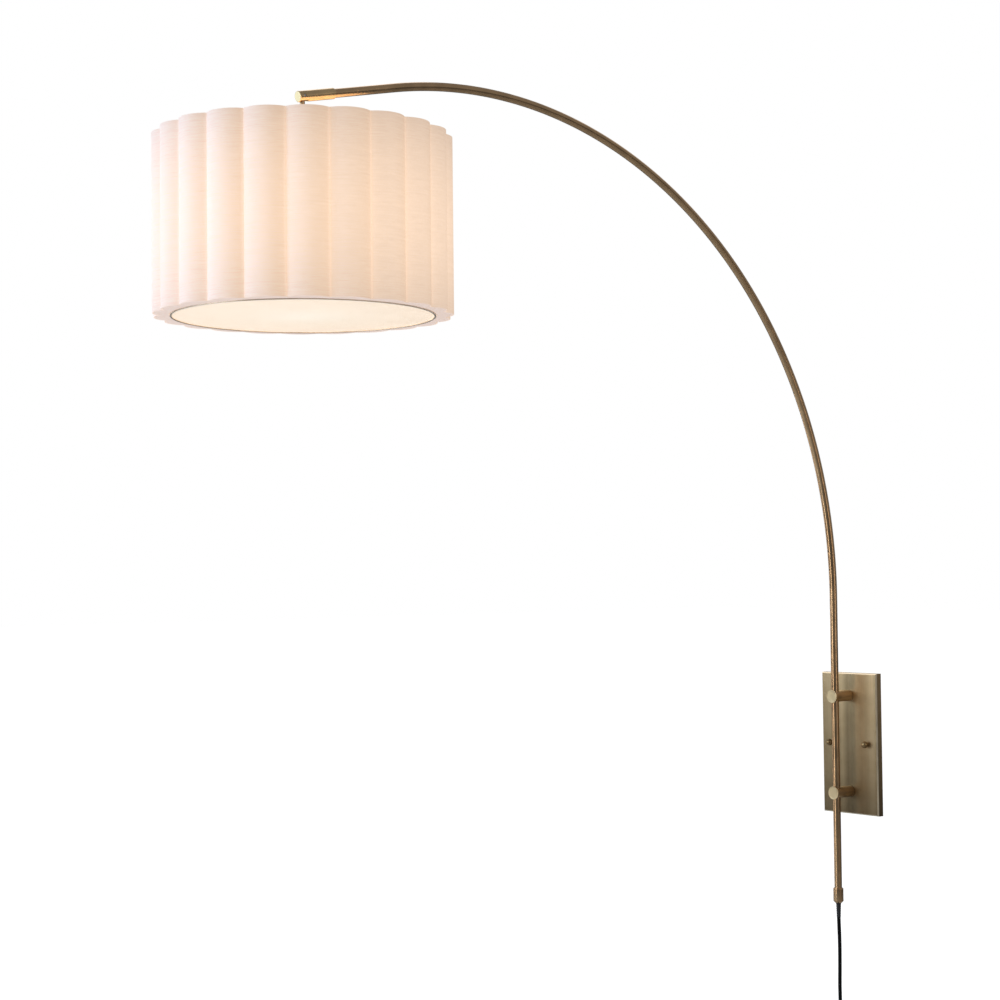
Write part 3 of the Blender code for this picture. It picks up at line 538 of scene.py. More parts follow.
def pipe(line, radius, bore, sides):
    """A bored round tube along points in a plane x = constant."""
    bm = bmesh.new()
    across = Vector((1, 0, 0))
    outer, inner, along, total = [], [], [], 0.0
    for i, point in enumerate(line):
        ahead = (line[min(i + 1, len(line) - 1)] - line[max(i - 1, 0)]).normalized()
        up = ahead.cross(across).normalized()
        side = up.cross(ahead)
        total += (point - line[i - 1]).length if i else 0.0
        along.append(total)
        for size, rings in ((radius, outer), (bore, inner)):
            rings.append([bm.verts.new(point + size * (side * cos(a) + up * sin(a)))
                          for a in circle(sides)])
    reach = along + along[::-1] + [0.0]
    grid_mesh(bm, outer + inner[::-1], lambda i, k: (k / sides * tau * radius, reach[i]), True)
    return mesh_from(bm)


def prism(outline, heights, place):
    """A stack of copies of the outline from (growth, height) pairs, capped at both ends."""
    bm = bmesh.new()
    rings = [[bm.verts.new(place @ Vector((x * grow, y * grow, z))) for x, y in outline]
             for grow, z in heights]
    around = [0.0]
    for here, after in zip(outline, outline[1:] + outline[:1]):
        around.append(around[-1] + (Vector(after) - Vector(here)).length)
    grid_mesh(bm, rings, lambda i, k: (around[k], heights[i][1]))
    return mesh_from(bm)


def round_box(half_x, half_y, radius, steps):
    points = []
    for quarter in range(4):
        cx = (half_x - radius) * (1 if quarter in (0, 3) else -1)
        cy = (half_y - radius) * (1 if quarter in (0, 1) else -1)
        for i in range(steps + 1):
            a = pi / 2 * (quarter + i / steps)
            points.append((cx + radius * cos(a), cy + radius * sin(a)))
    return points


def block(low, high):
    """A plain box, for a cut."""
    bm = bmesh.new()
    bmesh.ops.create_cube(bm, size=1)
    bmesh.ops.scale(bm, vec=Vector(high) - Vector(low), verts=bm.verts)
    bmesh.ops.translate(bm, vec=(Vector(high) + Vector(low)) / 2, verts=bm.verts)
    return mesh_from(bm)


def piece(name, mesh, body, slot, finish, *nodes):
    obj = add_object(name, mesh)
    for one in finish if isinstance(finish, tuple) else (finish,):
        mesh.materials.append(mats[one])
    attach(obj, body)
    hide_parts(*nodes)
    return obj


def turned(name, profile, segments, place, body, slot, finish, node, closed=False):
    """A piece made on the lathe."""
    return piece(name, lathe(profile, segments, place, closed), body, slot, finish, node)


def carve(obj, *cutters, bevel=0.0):
    """Cuts the meshes out of the piece for good, then softens its sharp edges."""
    helpers = []
    for i, mesh in enumerate(cutters):
        helper = add_object(f"{obj.name}_cut_{i}", mesh)
        modifier = obj.modifiers.new("cut", "BOOLEAN")
        modifier.operation = "DIFFERENCE"
        modifier.solver = "EXACT"
        modifier.object = helper
        helpers.append(helper)
    if bevel:
        soft = obj.modifiers.new("soft", "BEVEL")
        soft.width, soft.segments = bevel, 2
        soft.limit_method, soft.angle_limit = "ANGLE", radians(50)
        soft.use_clamp_overlap = True
    bpy.context.view_layer.update()
    graph = bpy.context.evaluated_depsgraph_get()
    made = bpy.data.meshes.new_from_object(obj.evaluated_get(graph))
    made.name = f"{obj.name}_carved"
    made.set_sharp_from_angle(angle=radians(SHARP_DEG))
    obj.modifiers.clear()
    obj.data = made
    for helper in helpers:
        bpy.data.objects.remove(helper, do_unlink=True)
    obj.modifiers.new("weighted", "WEIGHTED_NORMAL").keep_sharp = True
    return obj


# --- The arm's line ---


def arc_point(angle):
    out = ARC_R * (1 - cos(angle))
    return Vector((0, TUBE_Y - out, ARC_START_Z + ARC_R * sin(angle)))


END_DIRECTION = Vector((0, -sin(ARC_BEND), cos(ARC_BEND)))
END_RUN = (SHADE_REACH + arc_point(ARC_BEND).y - TUBE_Y) / sin(ARC_BEND)
PIVOT = arc_point(ARC_BEND) + END_RUN * END_DIRECTION
SLEEVE_PLACE = Matrix.Translation(PIVOT) @ spin(ARC_BEND, "X")
AXIS = at(0, PIVOT.y, 0)
"""The shade's upright axis."""

# --- Supply cord: made first ---


def smooth_route(route, spacing):
    """Points at about this spacing on a Catmull-Rom curve through the route's own points."""
    ends = [2 * route[0] - route[1]] + list(route) + [2 * route[-1] - route[-2]]
    points = []
    for a, b, c, d in zip(ends, ends[1:], ends[2:], ends[3:]):
        steps = max(1, round((c - b).length / spacing))
        for k in range(steps):
            t = k / steps
            points.append(0.5 * ((2 * b) + (c - a) * t + (2 * a - 5 * b + 4 * c - d) * t**2
                                 + (3 * b - a - 3 * c + d) * t**3))
    return points + [route[-1]]


def hank_run():
    """The straight length of each run, so that the whole cord has its stated length."""
    hanging = RELIEF_BOTTOM - GAP - HANK_RUN_TOP + HANK_TAIL
    folds = HANK_TURNS * tau * HANK_FOLD_R
    return (CORD_LENGTH - hanging - folds) / (2 * HANK_TURNS + 1)


HANK_RUN = hank_run()
HANK_RUN_BOTTOM = HANK_RUN_TOP - HANK_RUN
HANK_TURN = 2 * HANK_RUN + tau * HANK_FOLD_R
HANK_LENGTH = HANK_TURNS * HANK_TURN + HANK_RUN
HANK_END_Y = TUBE_Y - HANK_PITCH * HANK_LENGTH / HANK_TURN
PLUG_TOP = HANK_RUN_BOTTOM - HANK_TAIL
HANK_MIDDLE_Z = HANK_RUN_TOP - HANK_RUN / 2
HANK_MIDDLE_Y = (TUBE_Y + HANK_END_Y) / 2
HANK_SLACK, WAIST, WAIST_REACH = 1.1 * MM, 1.2 * MM, 0.62
"""How uneven the folds are, how far the strap draws the runs in, and over what share of a run."""


def hank_point(travel):
    """A point of the hank, this far along the cord from the hank's start."""
    turn = travel % HANK_TURN
    number = int(travel // HANK_TURN)
    y = TUBE_Y - HANK_PITCH * travel / HANK_TURN
    slack = HANK_SLACK * sin(2.4 * number + 0.6)
    r = HANK_FOLD_R
    fold = pi * r
    if turn < HANK_RUN:
        x, z = 0.0, HANK_RUN_TOP - turn
    elif turn < HANK_RUN + fold:
        a = (turn - HANK_RUN) / r
        x = -r + r * cos(a)
        z = HANK_RUN_BOTTOM - r * sin(a) + slack * sin(a)
    elif turn < 2 * HANK_RUN + fold:
        x, z = -2 * r, HANK_RUN_BOTTOM + (turn - HANK_RUN - fold)
    else:
        a = (turn - 2 * HANK_RUN - fold) / r
        x = -r - r * cos(a)
        z = HANK_RUN_TOP + r * sin(a) - slack * sin(a)
    near = max(0.0, 1 - abs(z - HANK_MIDDLE_Z) / (WAIST_REACH * HANK_RUN))
    pull = WAIST * near * near * (3 - 2 * near)
    return Vector((x - pull * (1 if x > -r else -1), y, z))


def build_cord():
    route = [Vector((x * MM, TUBE_Y, z * MM)) for x, z in CORD_WANDER]
    points = smooth_route(route, 3 * MM)
    steps = 24
    gap = (SWITCH_TOP - HANK_RUN_TOP) / steps
    points += [Vector((0, TUBE_Y, SWITCH_TOP - gap * k)) for k in range(1, steps)]
    steps = round(HANK_LENGTH / (2.6 * MM))
    points += [hank_point(HANK_LENGTH * k / steps) for k in range(steps)]
    steps = 12
    points += [Vector((0, HANK_END_Y, HANK_RUN_BOTTOM - HANK_TAIL * k / steps))
               for k in range(steps + 1)]
    data = bpy.data.curves.new("cord", "CURVE")
    data.dimensions = "3D"
    data.bevel_depth = CORD_D / 2
    data.bevel_resolution = 5
    data.use_fill_caps = True
    spline = data.splines.new("POLY")
    spline.points.add(len(points) - 1)
    for place, point in zip(spline.points, points):
        place.co = (*point, 1.0)
    spline.use_smooth = True
    return piece("supply_cord", data, "arm", "black_sheath", "cord", "cord_hanging",
                 "cord_below_switch", "cord_hank", "cord_tail")


def build_tie():
    """A strap drawn round the hank's waist, its loose end lapped over."""
    half_x = HANK_FOLD_R + CORD_D / 2 + 0.1 * MM - WAIST
    half_y = (TUBE_Y - HANK_END_Y + CORD_D) / 2 + 0.3 * MM
    (half_h, thick, lap_lift), lap_steps = mm(6.4, 1.0, 1.1), 5
    corners = [(0, -half_h), (thick, -half_h), (thick, half_h), (0, half_h)]
    section = eased(corners, 0.4 * MM, True, 3)
    loop = round_box(half_x, half_y, 3.2 * MM, 7)
    count = len(loop)
    path = loop + loop[:count // 4]
    middle = Vector((-HANK_FOLD_R, HANK_MIDDLE_Y, HANK_MIDDLE_Z))
    bm = bmesh.new()
    rings = []
    for i, (x, y) in enumerate(path):
        ahead = Vector(path[min(i + 1, len(path) - 1)]) - Vector(path[max(i - 1, 0)])
        normal = Vector((ahead.y, -ahead.x, 0)).normalized()
        lift = lap_lift * min(1.0, max(0.0, (i - count + lap_steps) / lap_steps))
        rings.append([bm.verts.new(middle + Vector((x, y, 0)) + normal * (lift + d)
                                   + Vector((0, 0, h))) for d, h in section])
    grid_mesh(bm, rings, lambda i, k: (i * 3 * MM, k * MM))
    return piece("tie_strap", mesh_from(bm, 40), "arm", "tie_fabric", "strap", "hank_tie")


def build_switch():
    """The in-line switch: two rounded shells with a parting line and a rocker well."""
    depth = SWITCH_D / 2
    outline = round_box(SWITCH_W / 2, (SWITCH_TOP - SWITCH_BOTTOM) / 2, 6 * MM, 8)
    dome = [(1.0, GAP / 2), (1.0, depth - 2.6 * MM), (0.985, depth - 1.2 * MM),
            (0.95, depth - 0.35 * MM), (0.90, depth), (0.45, depth)]
    shells = []
    for side, sign in (("front", 1), ("back", -1)):
        mesh = prism(outline, [(grow, sign * height) for grow, height in dome],
                     at(0, TUBE_Y, SWITCH_MIDDLE) @ OUT)
        shells.append(piece(f"switch_shell_{side}", mesh, "arm", "black_plastic", "black",
                            f"switch_{side}"))
    well_x, well_z = ROCKER_W / 2 + 0.3 * MM, ROCKER_L / 2 + 0.9 * MM
    well = block((-well_x, TUBE_Y - depth - MM, SWITCH_MIDDLE - well_z),
                 (well_x, TUBE_Y - depth + 6.6 * MM, SWITCH_MIDDLE + well_z))
    carve(shells[0], well, bevel=0.35 * MM)
    screw_hole = rod(2.9 * MM, -2.4 * MM, 5 * MM,
                     at(0, TUBE_Y + depth, SWITCH_MIDDLE - 20 * MM) @ OUT.inverted())
    carve(shells[1], screw_hole, bevel=0.2 * MM)
    return shells


def build_rocker():
    rocker_y = TUBE_Y - SWITCH_D / 2 + 2.2 * MM
    half, wide = ROCKER_L / 2, ROCKER_W / 2
    side = eased([(-half, 1.9 * MM), (0, 0.9 * MM), (half, 1.9 * MM), (half, -2.4 * MM),
                  (0, -3.2 * MM), (-half, -2.4 * MM)], 0.6 * MM, True, 3)
    place = at(0, rocker_y, SWITCH_MIDDLE) @ spin(ROCKER_TILT, "X") @ (OUT @ SIDEWAYS)
    heights = [(0.94, -wide), (1.0, -wide + 0.5 * MM), (1.0, wide - 0.5 * MM), (0.94, wide)]
    return piece("rocker_key", prism(side, heights, place), "rocker", "black_plastic", "gloss",
                 "switch_rocker")


def build_plug():
    """A moulded plug: ribbed sleeve, waisted body with finger grips."""
    relief_low, body_low = PLUG_TOP - 22 * MM, PLUG_TOP - 50 * MM
    place = at(0, HANK_END_Y, 0)
    profile = [(0, PLUG_TOP), (3.6 * MM, PLUG_TOP)]
    ribs, root = 6, 0.55 * MM
    for i in range(ribs):
        r, z = (3.8 + 1.5 * i / (ribs - 1)) * MM, PLUG_TOP - (1.4 + 3.3 * i) * MM
        profile += [(r - root, z), (r, z - 0.5 * MM), (r, z - 2.0 * MM), (r - root, z - 2.5 * MM)]
    foot_r = 5.3 * MM
    profile += [(foot_r, relief_low + 0.6 * MM), (foot_r, relief_low), (0, relief_low)]
    sleeve = turned("plug_sleeve", eased(profile, 0.25 * MM, False, 3), 40, place, "arm",
                    "black_plastic", "black", "plug_relief")
    outline = round_box(PLUG_W / 2, PLUG_D / 2, 5 * MM, 8)
    top = relief_low - GAP
    waist = 0.885
    stack = ((0.55, 0), (0.72, 0.4), (0.86, 2.2), (0.93, 5), (0.90, 8), (waist, 12), (0.90, 16),
             (0.97, 20), (1.0, 22))
    heights = [(grow, top - down * MM) for grow, down in stack]
    heights += [(1.0, body_low + 1.0 * MM), (0.97, body_low + 0.25 * MM), (0.93, body_low)]
    body = piece("plug_shell", prism(outline, heights, place), "arm", "black_plastic", "black",
                 "plug_body")
    room_x, room_y = mm(0.95, 3.35)
    cuts = [block((x - room_x, HANK_END_Y - room_y, body_low - MM),
                  (x + room_x, HANK_END_Y + room_y, body_low + 6 * MM)) for x in BLADES_X]
    for sign in (-1, 1):
        y = HANK_END_Y + sign * (PLUG_D / 2 * waist + 0.35 * MM)
        for k in range(4):
            z = top - (8 + 2.6 * k) * MM
            cuts.append(block((-6 * MM, y - 0.75 * MM, z - 0.6 * MM),
                              (6 * MM, y + 0.75 * MM, z + 0.6 * MM)))
    carve(body, *cuts)
    blade_top, blade_low, tip = body_low + 5.7 * MM, body_low - 14 * MM, body_low - 16 * MM
    outline = eased([(-BLADE_HALF_W, blade_top), (BLADE_HALF_W, blade_top),
                     (BLADE_HALF_W, blade_low), (1.9 * MM, tip), (-1.9 * MM, tip),
                     (-BLADE_HALF_W, blade_low)], 0.5 * MM, True, 2)
    blades = []
    for i, x in enumerate(BLADES_X):
        mesh = prism(outline, [(1.0, -BLADE_HALF_D), (1.0, BLADE_HALF_D)],
                     at(x, HANK_END_Y, 0) @ SIDEWAYS)
        blade = piece(f"blade_{i}", mesh, "arm", "blade_metal", "blade", f"plug_blade_{i}")
        hole_place = at(x, HANK_END_Y, body_low - 11.5 * MM) @ spin(pi / 2, "Y")
        carve(blade, rod(1.5 * MM, -3 * MM, 3 * MM, hole_place, 24), bevel=0.12 * MM)
        blades.append(blade)
    return [sleeve, body, *blades]


cord, shells, rocker, tie, plug = (
    build() for build in (build_cord, build_switch, build_rocker, build_tie, build_plug))

# --- Wall plate group ---


def build_plate():
    outer_x, outer_z, chamfer = PLATE_W / 2, PLATE_H / 2, 2 * MM
    steps = [(PLATE_WALL, -PLATE_D + PLATE_WALL), (PLATE_WALL, 0), (0, 0), (0, -PLATE_D + chamfer),
             (chamfer, -PLATE_D)]
    bm = bmesh.new()
    rings = [[bm.verts.new((sx * (outer_x - inset), y, sz * (outer_z - inset)))
              for sx, sz in ((1, 1), (-1, 1), (-1, -1), (1, -1))] for inset, y in steps]
    grid_mesh(bm, rings, lambda i, k: (0.0, 0.0))
    mesh = mesh_from(bm)
    # The chamfer faces take the lighter brass of a painted highlight.
    for polygon in mesh.polygons:
        polygon.material_index = 1 if 0.2 < -polygon.normal.y < 0.9 else 0
    plate = piece("wall_plate", mesh, "base", "plate_brass", ("plate", "edge"), "backplate")
    screw_r, stud_r = mm(2.9, 2.4)
    carve(plate, *(rod(r, -MM, 30 * MM, at(x, 0, z) @ OUT, 40)
                   for x, z, r in ((0, POST_Z, screw_r), (0, -POST_Z, screw_r),
                                   (STUD_X, 0, stud_r), (-STUD_X, 0, stud_r))),
          bevel=0.35 * MM)
    layer = plate.data.uv_layers["metric"]
    for polygon in plate.data.polygons:
        upright = abs(polygon.normal.z) > 0.9
        for i in polygon.loop_indices:
            co = plate.data.vertices[plate.data.loops[i].vertex_index].co
            layer.data[i].uv = (co.x + co.y, co.x if upright else co.z)


def build_posts():
    length = -PLATE_D - GAP - TUBE_Y + POST_NOSE
    dish_r = POST_CAP_R - 1.1 * MM
    cap = [(0, 0), (POST_CAP_R, 0), (POST_CAP_R, POST_CAP_D), (dish_r, POST_CAP_D),
           (POST_CAP_R - 1.4 * MM, POST_CAP_D - 0.22 * MM), (0, POST_CAP_D - 0.18 * MM)]
    hexagon = [(0.8 * MM * cos(a), 0.8 * MM * sin(a)) for a in circle(6)]
    for level, z in (("upper", POST_Z), ("lower", -POST_Z)):
        place, middle = at(0, -PLATE_D - GAP, z) @ OUT, at(0, TUBE_Y, z)
        post = turned(f"swing_post_{level}", eased(column(POST_R, 0, length), 0.5 * MM), 72, place,
                      "base", "fitting_brass", "post", f"post_{level}")
        carve(post, rod(TUBE_BORE, -20 * MM, 20 * MM, middle, 64),
              rod(2.8 * MM, -MM, 11.5 * MM, place),
              rod(1.8 * MM, 2 * MM, 12 * MM, middle @ spin(-pi / 2, "Y")))
        turned(f"post_face_{level}", eased(cap, 0.35 * MM), 72,
               at(0, TUBE_Y - POST_NOSE - GAP, z) @ OUT, "base", "fitting_brass", "cap",
               f"post_cap_{level}")
        turn = middle @ spin(pi / 2, "Y")
        grub = eased(column(1.5 * MM, -9.2 * MM, -TUBE_BORE), 0.2 * MM)
        screw = turned(f"grub_screw_{level}", grub, 32, turn, "base", "zinc_steel", "steel",
                       f"friction_screw_{level}")
        carve(screw, prism(hexagon, [(1, -10 * MM), (1, -8 * MM)], turn))


def build_ball_nuts():
    """A turned neck with a small bead under a ball, bored from behind for its stud."""
    ball, height, bore = mm(5.75, 6.5, 2.3)
    start = radians(-50)
    arc = [start + (pi / 2 - start) * i / 22 for i in range(22)]
    profile = [(0, 5.6 * MM), (bore, 5.6 * MM), (bore, 0)]
    profile += eased([(bore, 0), (3.9 * MM, 0), (3.9 * MM, 1.2 * MM), (3.3 * MM, 1.5 * MM),
                      (ball * cos(start), height + ball * sin(start))], 0.25 * MM)[1:]
    profile += [(ball * cos(a), height + ball * sin(a)) for a in arc[1:]]
    profile += [(0, height + ball)]
    for side, x in (("left", -STUD_X), ("right", STUD_X)):
        turned(f"ball_finial_{side}", profile, 56, at(x, -PLATE_D - GAP, 0) @ OUT, "base",
               "fitting_brass", "nut", f"ball_nut_{side}")


# --- Arm group ---


def build_arm():
    rise, bends, last = 24, 170, 4
    line = [Vector((0, TUBE_Y, TUBE_BOTTOM + (ARC_START_Z - TUBE_BOTTOM) * k / rise))
            for k in range(rise)]
    line += [arc_point(ARC_BEND * i / bends) for i in range(bends + 1)]
    start, stop = line[-1], PIVOT - TUBE_STOP * END_DIRECTION
    line += [start.lerp(stop, k / last) for k in range(1, last + 1)]
    piece("arm_pipe", pipe(line, TUBE_R, TUBE_R - TUBE_WALL, 40), "arm", "arm_brass", "tube",
          "arm_tube")


def build_lower_end():
    mouth, step = 4.7 * MM, TUBE_BOTTOM - GAP
    profile = [(TUBE_BORE, FERRULE_TOP), (TUBE_BORE, step), (mouth, step), (mouth, FERRULE_BOTTOM),
               (5.6 * MM, FERRULE_BOTTOM), (FERRULE_R, FERRULE_BOTTOM + 3 * MM),
               (FERRULE_R, FERRULE_TOP - 0.6 * MM), (FERRULE_R - 0.6 * MM, FERRULE_TOP)]
    place = at(0, TUBE_Y, 0)
    turned("end_ferrule", eased(profile, 0.25 * MM, True), 64, place, "arm", "arm_brass", "turned",
           "lower_ferrule", closed=True)
    top = TUBE_BOTTOM - 0.8 * MM
    low, high = RELIEF_BOTTOM, FERRULE_BOTTOM - 2 * MM
    relief = [(0, top), (4.3 * MM, top), (4.3 * MM, high)]
    ribs = 5
    for i in range(ribs):
        r = (4.2 - 0.7 * (i + 0.5) / ribs) * MM
        z = high - (high - low - 2 * MM) * (i + 0.25) / ribs
        relief += [(r, z), (r - 0.35 * MM, z - 0.5 * MM), (r - 0.35 * MM, z - 1.3 * MM),
                   (r - 0.05 * MM, z - 1.8 * MM)]
    relief += [(3.5 * MM, low + 0.3 * MM), (3.3 * MM, low), (0, low)]
    turned("strain_relief", eased(relief, 0.2 * MM, False, 3), 48, place, "arm", "black_plastic",
           "black", "cord_relief")


def build_sleeve():
    """The sleeve on the arm's end, with its slot and the two screws the shade turns on."""
    throat, shoulder = 3.6 * MM, -TUBE_STOP + GAP
    profile = [(0, SLEEVE_FRONT), (SLEEVE_R - 0.7 * MM, SLEEVE_FRONT),
               (SLEEVE_R, SLEEVE_FRONT - 0.7 * MM), (SLEEVE_R, -SLEEVE_BACK + 0.6 * MM),
               (SLEEVE_R - 0.6 * MM, -SLEEVE_BACK), (TUBE_BORE, -SLEEVE_BACK),
               (TUBE_BORE, shoulder), (throat, shoulder), (throat, 0), (0, 0)]
    sleeve = turned("arm_sleeve", eased(profile, 0.3 * MM), 64, SLEEVE_PLACE, "arm", "arm_brass",
                    "sleeve", "upper_sleeve")
    slot = block((-SLOT_HALF, -12 * MM, -6.5 * MM), (SLOT_HALF, 6.5 * MM, 6.7 * MM))
    slot.transform(SLEEVE_PLACE)
    turns = [SLEEVE_PLACE @ spin(sign * pi / 2, "Y") for sign in (-1, 1)]
    carve(sleeve, slot, *(rod(2.1 * MM, 3 * MM, 10 * MM, turn) for turn in turns))
    shank = eased(column(1.8 * MM, 3.4 * MM, 7.4 * MM), 0.3 * MM)
    for side, turn in zip(("left", "right"), turns):
        screw = turned(f"hinge_screw_{side}", shank, 40, turn, "arm", "zinc_steel", "steel",
                       f"pivot_screw_{side}")
        slit = block((-0.3 * MM, -2.5 * MM, 6.8 * MM), (0.3 * MM, 2.5 * MM, 8 * MM))
        slit.transform(turn)
        carve(screw, slit)


# --- Shade group ---

HALF_SCALLOP = pi / SCALLOPS
CHORD = 2 * VALLEY_R * sin(HALF_SCALLOP)
RISE = CREST_R - VALLEY_R * cos(HALF_SCALLOP)
ARC_RADIUS = CHORD**2 / (8 * RISE) + RISE / 2
CENTRE_R = CREST_R - ARC_RADIUS
PAINTED_SHADE_START, PAINTED_SHADE_CURVE = 0.45, 1.4
# How far along each scallop its far side starts, where painted shade turns the cloth's glow warmer
# and dimmer, and the power by which it does.
"""How far along each scallop its far side starts, where the cloth's glow turns warmer and dimmer,
and the power by which it does."""


def scallop_sweep(inset):
    return HALF_SCALLOP + asin(CENTRE_R * sin(HALF_SCALLOP) / (ARC_RADIUS - inset))


def scallop_outline(inset, steps):
    """The shade's plan as (x, y, closeness to a cusp, painted shade weight), moved inward by
    inset.
    """
    reach, bend = scallop_sweep(inset), ARC_RADIUS - inset
    points = []
    for i in range(SCALLOPS):
        crest = SCALLOP_TURN + tau * i / SCALLOPS
        for k in range(steps):
            t = k / steps
            a = crest - reach + 2 * reach * t
            points.append((CENTRE_R * cos(crest) + bend * cos(a),
                           CENTRE_R * sin(crest) + bend * sin(a),
                           abs(2 * t - 1), max(0.0, (t - PAINTED_SHADE_START) / (1 - PAINTED_SHADE_START)) ** PAINTED_SHADE_CURVE))
    return points


PERIMETER = SCALLOPS * 2 * scallop_sweep(0) * ARC_RADIUS


def build_shade_wall():
    """The linen wall: outer cloth turned over both edges and hemmed inside on the liner."""
    steps, rises, inner_rises, hem, turn = 16, 14, 6, 11 * MM, 0.55 * MM
    low, high = SHADE_BOTTOM, SHADE_TOP
    outer = [(turn, low), (0.16 * MM, low + 0.16 * MM), (0, low + turn)]
    outer += [(0, low + 3 * MM + (high - low - 6 * MM) * k / rises) for k in range(rises + 1)]
    outer += [(0, high - turn), (0.16 * MM, high - 0.16 * MM), (turn, high)]
    inner = [(SKIN - 0.1 * MM, high), (SKIN + 0.3 * MM, high - 0.5 * MM),
             (SKIN + 0.3 * MM, high - hem), (SKIN, high - hem - 0.4 * MM)]
    inner += [(SKIN, high - hem - (high - low - 2 * hem) * k / inner_rises)
              for k in range(1, inner_rises)]
    inner += [(SKIN, low + hem + 0.4 * MM), (SKIN + 0.2 * MM, low + hem),
              (SKIN + 0.2 * MM, low + 5.0 * MM), (SKIN, low + 4.6 * MM), (SKIN, low)]
    profile = outer + inner
    bm = bmesh.new()
    cusp_layer, painted_shade_layer = (bm.verts.layers.float.new(name) for name in ("cusp", "lee"))
    rings = []
    for inset, z in profile:
        ring = []
        for x, y, cusp, lee in scallop_outline(inset, steps):
            vert = bm.verts.new((x, PIVOT.y + y, z))
            # Each point keeps a weight of painted shade, which the cloth's material reads.
            vert[cusp_layer], vert[painted_shade_layer] = cusp, lee
            ring.append(vert)
        rings.append(ring)
    count = SCALLOPS * steps
    heights = [z for _, z in profile] + [low]
    grid_mesh(bm, rings, lambda i, k: (PERIMETER * k / count, heights[i]), True)
    first_liner, last_liner = len(outer) + 3, len(profile) - 5
    for n, face in enumerate(bm.faces):
        face.material_index = 1 if first_liner <= n // count < last_liner else 0
    wall = piece("shade_cloth", mesh_from(bm, 40), "shade", "linen", ("linen", "liner"),
                 "shade_wall")


def build_flange():
    """The cloth ring that closes the shade's foot between the scallops and the rim."""
    steps = 12
    rim = RIM_R + GAP
    outline = scallop_outline(SKIN + GAP, steps)
    shares = [0.0, 0.02, 0.06, 0.25, 0.5, 0.75, 0.93, 0.98, 1.0]
    dips = [0.5, 0.15, 0.0, 0.0, 0.0, 0.0, 0.0, 0.15, 0.5]
    low, high = SHADE_BOTTOM, SHADE_BOTTOM + SKIN
    bm = bmesh.new()

    def ring(share, z):
        made = []
        for x, y, *_ in outline:
            r = hypot(x, y)
            to = rim + (r - rim) * (1 - share)
            made.append(bm.verts.new((x * to / r, PIVOT.y + y * to / r, z)))
        return made

    rings = [ring(s, low + d * MM) for s, d in zip(shares, dips)]
    rings += [ring(s, high - d * MM) for s, d in zip(shares[::-1], dips)]
    count = SCALLOPS * steps
    reach = shares + shares[::-1] + [0.0]
    grid_mesh(bm, rings, lambda i, k: (PERIMETER * k / count, 20 * MM * reach[i]), True)
    flange = piece("shade_foot", mesh_from(bm, 50), "shade", "linen", "flange", "bottom_flange")


def build_diffuser():
    low, lip = SHADE_BOTTOM - 1.2 * MM, 1.2 * MM
    wall_r, top = RIM_R - MM, low + 8 * MM
    rim = [(RIM_LIP_R, low), (RIM_R, low), (RIM_R, top), (wall_r, top), (wall_r, low + lip),
           (RIM_LIP_R, low + lip)]
    turned("diffuser_ring", eased(rim, 0.3 * MM, True), 240, AXIS, "shade", "fitting_brass", "rim",
           "diffuser_rim", closed=True)
    foot = low + lip + GAP
    disc = eased(column(wall_r - GAP, foot, foot + DIFFUSER_D), 0.5 * MM)
    turned("opal_disc", disc, 240, AXIS, "shade", "opal_acrylic", "opal", "diffuser")


def build_lamp():
    """The cup, the lamp holder in it, and a bulb with its threaded cap."""
    cup_top = SPIDER_Z - MM - GAP
    hole, inside = STEM_R + 0.4 * MM, CUP_R - CUP_WALL
    cup = [(hole, cup_top), (12 * MM, cup_top), (CUP_R, cup_top - 6 * MM), (CUP_R, CUP_BOTTOM),
           (inside, CUP_BOTTOM), (inside, cup_top - 6.4 * MM), (11.4 * MM, cup_top - 2 * MM),
           (hole, cup_top - 2 * MM)]
    turned("lamp_cup", eased(cup, 0.8 * MM, True), 64, AXIS, "shade", "fitting_brass", "turned",
           "socket_cup", closed=True)
    holder = [(0, HOLDER_TOP), (10 * MM, HOLDER_TOP), (HOLDER_R, HOLDER_TOP - 5 * MM),
              (HOLDER_R, HOLDER_BOTTOM), (HOLDER_BORE, HOLDER_BOTTOM),
              (HOLDER_BORE, HOLDER_BORE_TOP), (0, HOLDER_BORE_TOP)]
    turned("lamp_socket", eased(holder, 0.6 * MM), 64, AXIS, "shade", "black_plastic", "black",
           "lamp_holder")
    top, thread, root = HOLDER_BORE_TOP - GAP, 13.1 * MM, 12.1 * MM
    cap = [(0, top), (4.6 * MM, top), (5.2 * MM, top - 0.8 * MM), (11.5 * MM, top - 4.4 * MM)]
    for i in range(5):
        z = top - 5.4 * MM - CAP_PITCH * i
        cap += [(root, z), (thread, z - 0.28 * CAP_PITCH), (thread, z - 0.42 * CAP_PITCH),
                (root, z - 0.72 * CAP_PITCH)]
    cap += [(12.9 * MM, CAP_BOTTOM + 1.5 * MM), (thread, CAP_BOTTOM), (0, CAP_BOTTOM)]
    turned("lamp_cap", eased(cap, 0.6 * MM, False, 3), 48, AXIS, "shade", "bulb_metal",
           "cap_metal", "bulb_cap")
    neck, centre, shoulder_deg = CAP_BOTTOM - GAP, BULB_BOTTOM + BULB_R, 32
    throat = ((13 * MM, 0), (13.6 * MM, 8 * MM), (16.2 * MM, 18 * MM), (20.5 * MM, 28 * MM))

    def outline(inset):
        ball = BULB_R - inset
        shoulder = radians(shoulder_deg)
        side = [Vector((r - inset, 0, neck - down)) for r, down in throat]
        side.append(Vector((ball * cos(shoulder), 0, centre + ball * sin(shoulder))))
        made = [(p.x, p.z) for p in smooth_route(side, 2.5 * MM)]
        made += [(ball * cos(a), centre + ball * sin(a))
                 for a in (radians(shoulder_deg - 6.1 * k) for k in range(1, 20))]
        return made + [(0, centre - BULB_R + inset)]

    glass = outline(0) + outline(1.2 * MM)[::-1]
    turned("bulb_globe", glass, 56, AXIS, "shade", "bulb_glass", "bulb", "bulb_glass", closed=True)


